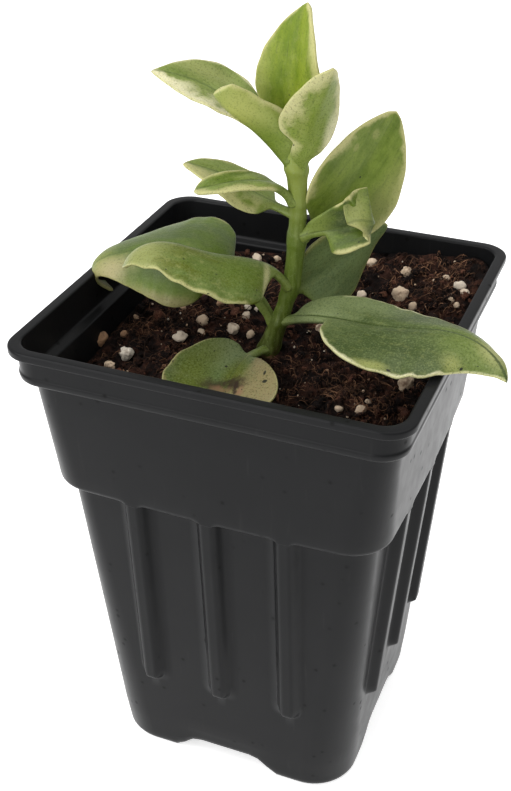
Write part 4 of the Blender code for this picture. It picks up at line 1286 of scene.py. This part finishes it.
def leaf_section(leaf, spine, station, seed):
    """One closed loop round the leaf, with its place on the leaf for the material."""
    centre, along, right, normal = spine
    run = (station - leaf.stalk) / leaf.blade
    share = max(run, 0.0)
    crease = leaf.crease
    neck = ease(station / NECK_LENGTH)
    stalk = leaf.neck * (1 - ease(1.5 * share)) * (NECK_ROOT + (1 - NECK_ROOT) * neck)
    flare = FLARE * leaf.root * math.exp(-(station / FLARE_LENGTH) ** 2)
    thick = STALK_THICK + (BLADE_THICK - STALK_THICK) * ease(4 * share)
    thick = thick + (TIP_THICK - thick) * share * share + flare
    thick = thick * (leaf.root + (1 - leaf.root) * neck)
    past = max((station - leaf.stalk - leaf.blade + TIP_ROUND) / TIP_ROUND, 0.0)
    closing = math.sqrt(max(1 - past * past, 0.0))
    flesh = ease(3.0 * share) * ease((1 - share) * 4.0)
    edge = min(EDGE_THICK, thick) * 0.5
    upper, lower, upper_place, lower_place = [], [], [], []
    for k in range(ACROSS_STEPS + 1):
        s = -math.cos(math.pi * k / ACROSS_STEPS)
        side, sign = (0, -1.0) if s < 0 else (1, 1.0)
        half = stalk + flare + leaf.half[side] * blade_profile(leaf, side, run) + EDGE_MARGIN
        ripple = leaf.wave * noise.noise(Vector((0.35 * station, 3.0 * side, seed))) * flesh
        fold = fold_angle(leaf, side, share, half)
        reach, lift = curl(fold, abs(s), crease)
        half = half * closing
        spot = centre + half * (sign * reach * right + lift * normal)
        spot = spot + ripple * s * s * half * 0.35 * normal
        sweep = leaf.back[side] * s * s * (1 - ease(share / 0.7))
        spot = spot - sweep * ease((half - 0.8) / 3.0) * along
        tilt = fold * (crease + 2.0 * (1.0 - crease) * abs(s))
        if abs(s) < 0.25:
            lean = 0.5 * crease * (fold_angle(leaf, 0, share, half) - fold_angle(leaf, 1, share, half))
            blend = abs(s) / 0.25
            tilt = -sign * lean * (1 - blend) + tilt * blend
        face = math.cos(tilt) * normal - sign * math.sin(tilt) * right
        inset = half * (1 - abs(s))
        round_off = 1.0 if inset >= edge else math.sqrt(max(1 - (1 - inset / edge) ** 2, 0.0))
        depth = (edge + (0.5 * thick - edge) * (1 - s * s)) * round_off * closing
        groove = leaf.groove * GROOVE_DEPTH * flesh * math.exp(-((half * s) / GROOVE_HALF) ** 2)
        narrow = 2.0 * max(0.0, 1.8 - half) * (1 - ease(3.0 * share))
        place = (station, half * s, inset + narrow + STALK_PALE * (1 - ease(5.0 * share)))
        upper.append(spot + (depth - groove) * face)
        upper_place.append(place)
        if 0 < k < ACROSS_STEPS:
            lower.append(spot - (depth + 0.8 * groove) * face)
            lower_place.append(place)
    return upper + lower[::-1], upper_place + lower_place[::-1]


def build_leaf(name, leaf, seed):
    end = leaf.stalk + leaf.blade - TIP_ROUND
    stations = list(np.linspace(0.0, end, int((leaf.stalk + leaf.blade) / STATION_STEP)))
    stations += [end + TIP_ROUND * math.sin(QUARTER * k / 7) for k in range(1, 7)]
    points, places = [], []
    for station, spine in zip(stations, leaf_spine(leaf, stations)):
        loop, place = leaf_section(leaf, spine, station, seed)
        points += loop
        places += place
    make_piece(name + "_skin", plant_points(points), loft_faces(len(stations), 2 * ACROSS_STEPS),
               leaf_skin(name + "_skin", LOOKS[name], leaf.stalk, seed), [name],
               {"leaf_place": places})


# Floor, lights and camera

def build_floor():
    corners = [(x * FLOOR_HALF, y * FLOOR_HALF, 0.0) for x, y in ((-1, -1), (1, -1), (1, 1), (-1, 1))]
    mesh = new_mesh("floor", corners, [(0, 1, 2, 3)])
    paint = Paint("floor", FLOOR_COLOR)
    mesh.materials.append(paint.done(Roughness=0.9, Emission_Color=FLOOR_COLOR,
                                     Emission_Strength=FLOOR_GLOW))
    add_object("floor", mesh)


def aim(name, data, place, target):
    """Adds a lamp or camera at a place, turned towards a target."""
    obj = add_object(name, data)
    obj.location = Vector(place) * MM
    obj.rotation_euler = (Vector(place) - Vector(target)).to_track_quat("Z", "Y").to_euler()
    return obj


def build_lights():
    world = bpy.data.worlds.new("studio")
    world.use_nodes = True
    sky = world.node_tree.nodes["Background"]
    sky.inputs[0].default_value = (1.0, 1.0, 1.0, 1.0)
    sky.inputs[1].default_value = SKY_LIGHT
    bpy.context.scene.world = world
    for name, place, size, power in LIGHTS:
        lamp = bpy.data.lights.new(name, "AREA")
        lamp.size = size * MM
        lamp.energy = power
        aim(name, lamp, place, LIGHT_TARGET)


def build_camera():
    lens = bpy.data.cameras.new("camera")
    lens.lens = LENS
    lens.sensor_fit = "VERTICAL"
    lens.sensor_height = SENSOR
    lens.clip_start = 0.01
    level = math.cos(CAMERA_ELEVATION)
    back = Vector((math.sin(CAMERA_AZIMUTH) * level, -math.cos(CAMERA_AZIMUTH) * level,
                   math.sin(CAMERA_ELEVATION)))
    place = Vector(CAMERA_TARGET) + back * CAMERA_DISTANCE
    bpy.context.scene.camera = aim("camera", lens, place, CAMERA_TARGET)


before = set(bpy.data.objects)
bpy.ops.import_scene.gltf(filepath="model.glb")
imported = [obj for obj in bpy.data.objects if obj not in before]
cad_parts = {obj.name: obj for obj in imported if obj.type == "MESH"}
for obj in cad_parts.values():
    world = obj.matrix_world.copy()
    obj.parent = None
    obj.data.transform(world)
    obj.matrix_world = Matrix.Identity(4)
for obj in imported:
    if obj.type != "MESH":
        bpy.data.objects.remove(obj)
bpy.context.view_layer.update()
build_camera()
build_floor()
build_lights()
build_pot()
build_mix()
mix_rng = random.Random(MIX_SEED)
for crumbs in CRUMBS:
    build_crumbs(mix_rng, *crumbs)
build_fibres(mix_rng)
build_chips(mix_rng)
build_perlite(mix_rng)
build_stem()
for number, (leaf_name, leaf_form) in enumerate(LEAVES.items(), 1):
    build_leaf(leaf_name, leaf_form, number)
bpy.context.scene.view_settings.view_transform = "Standard"
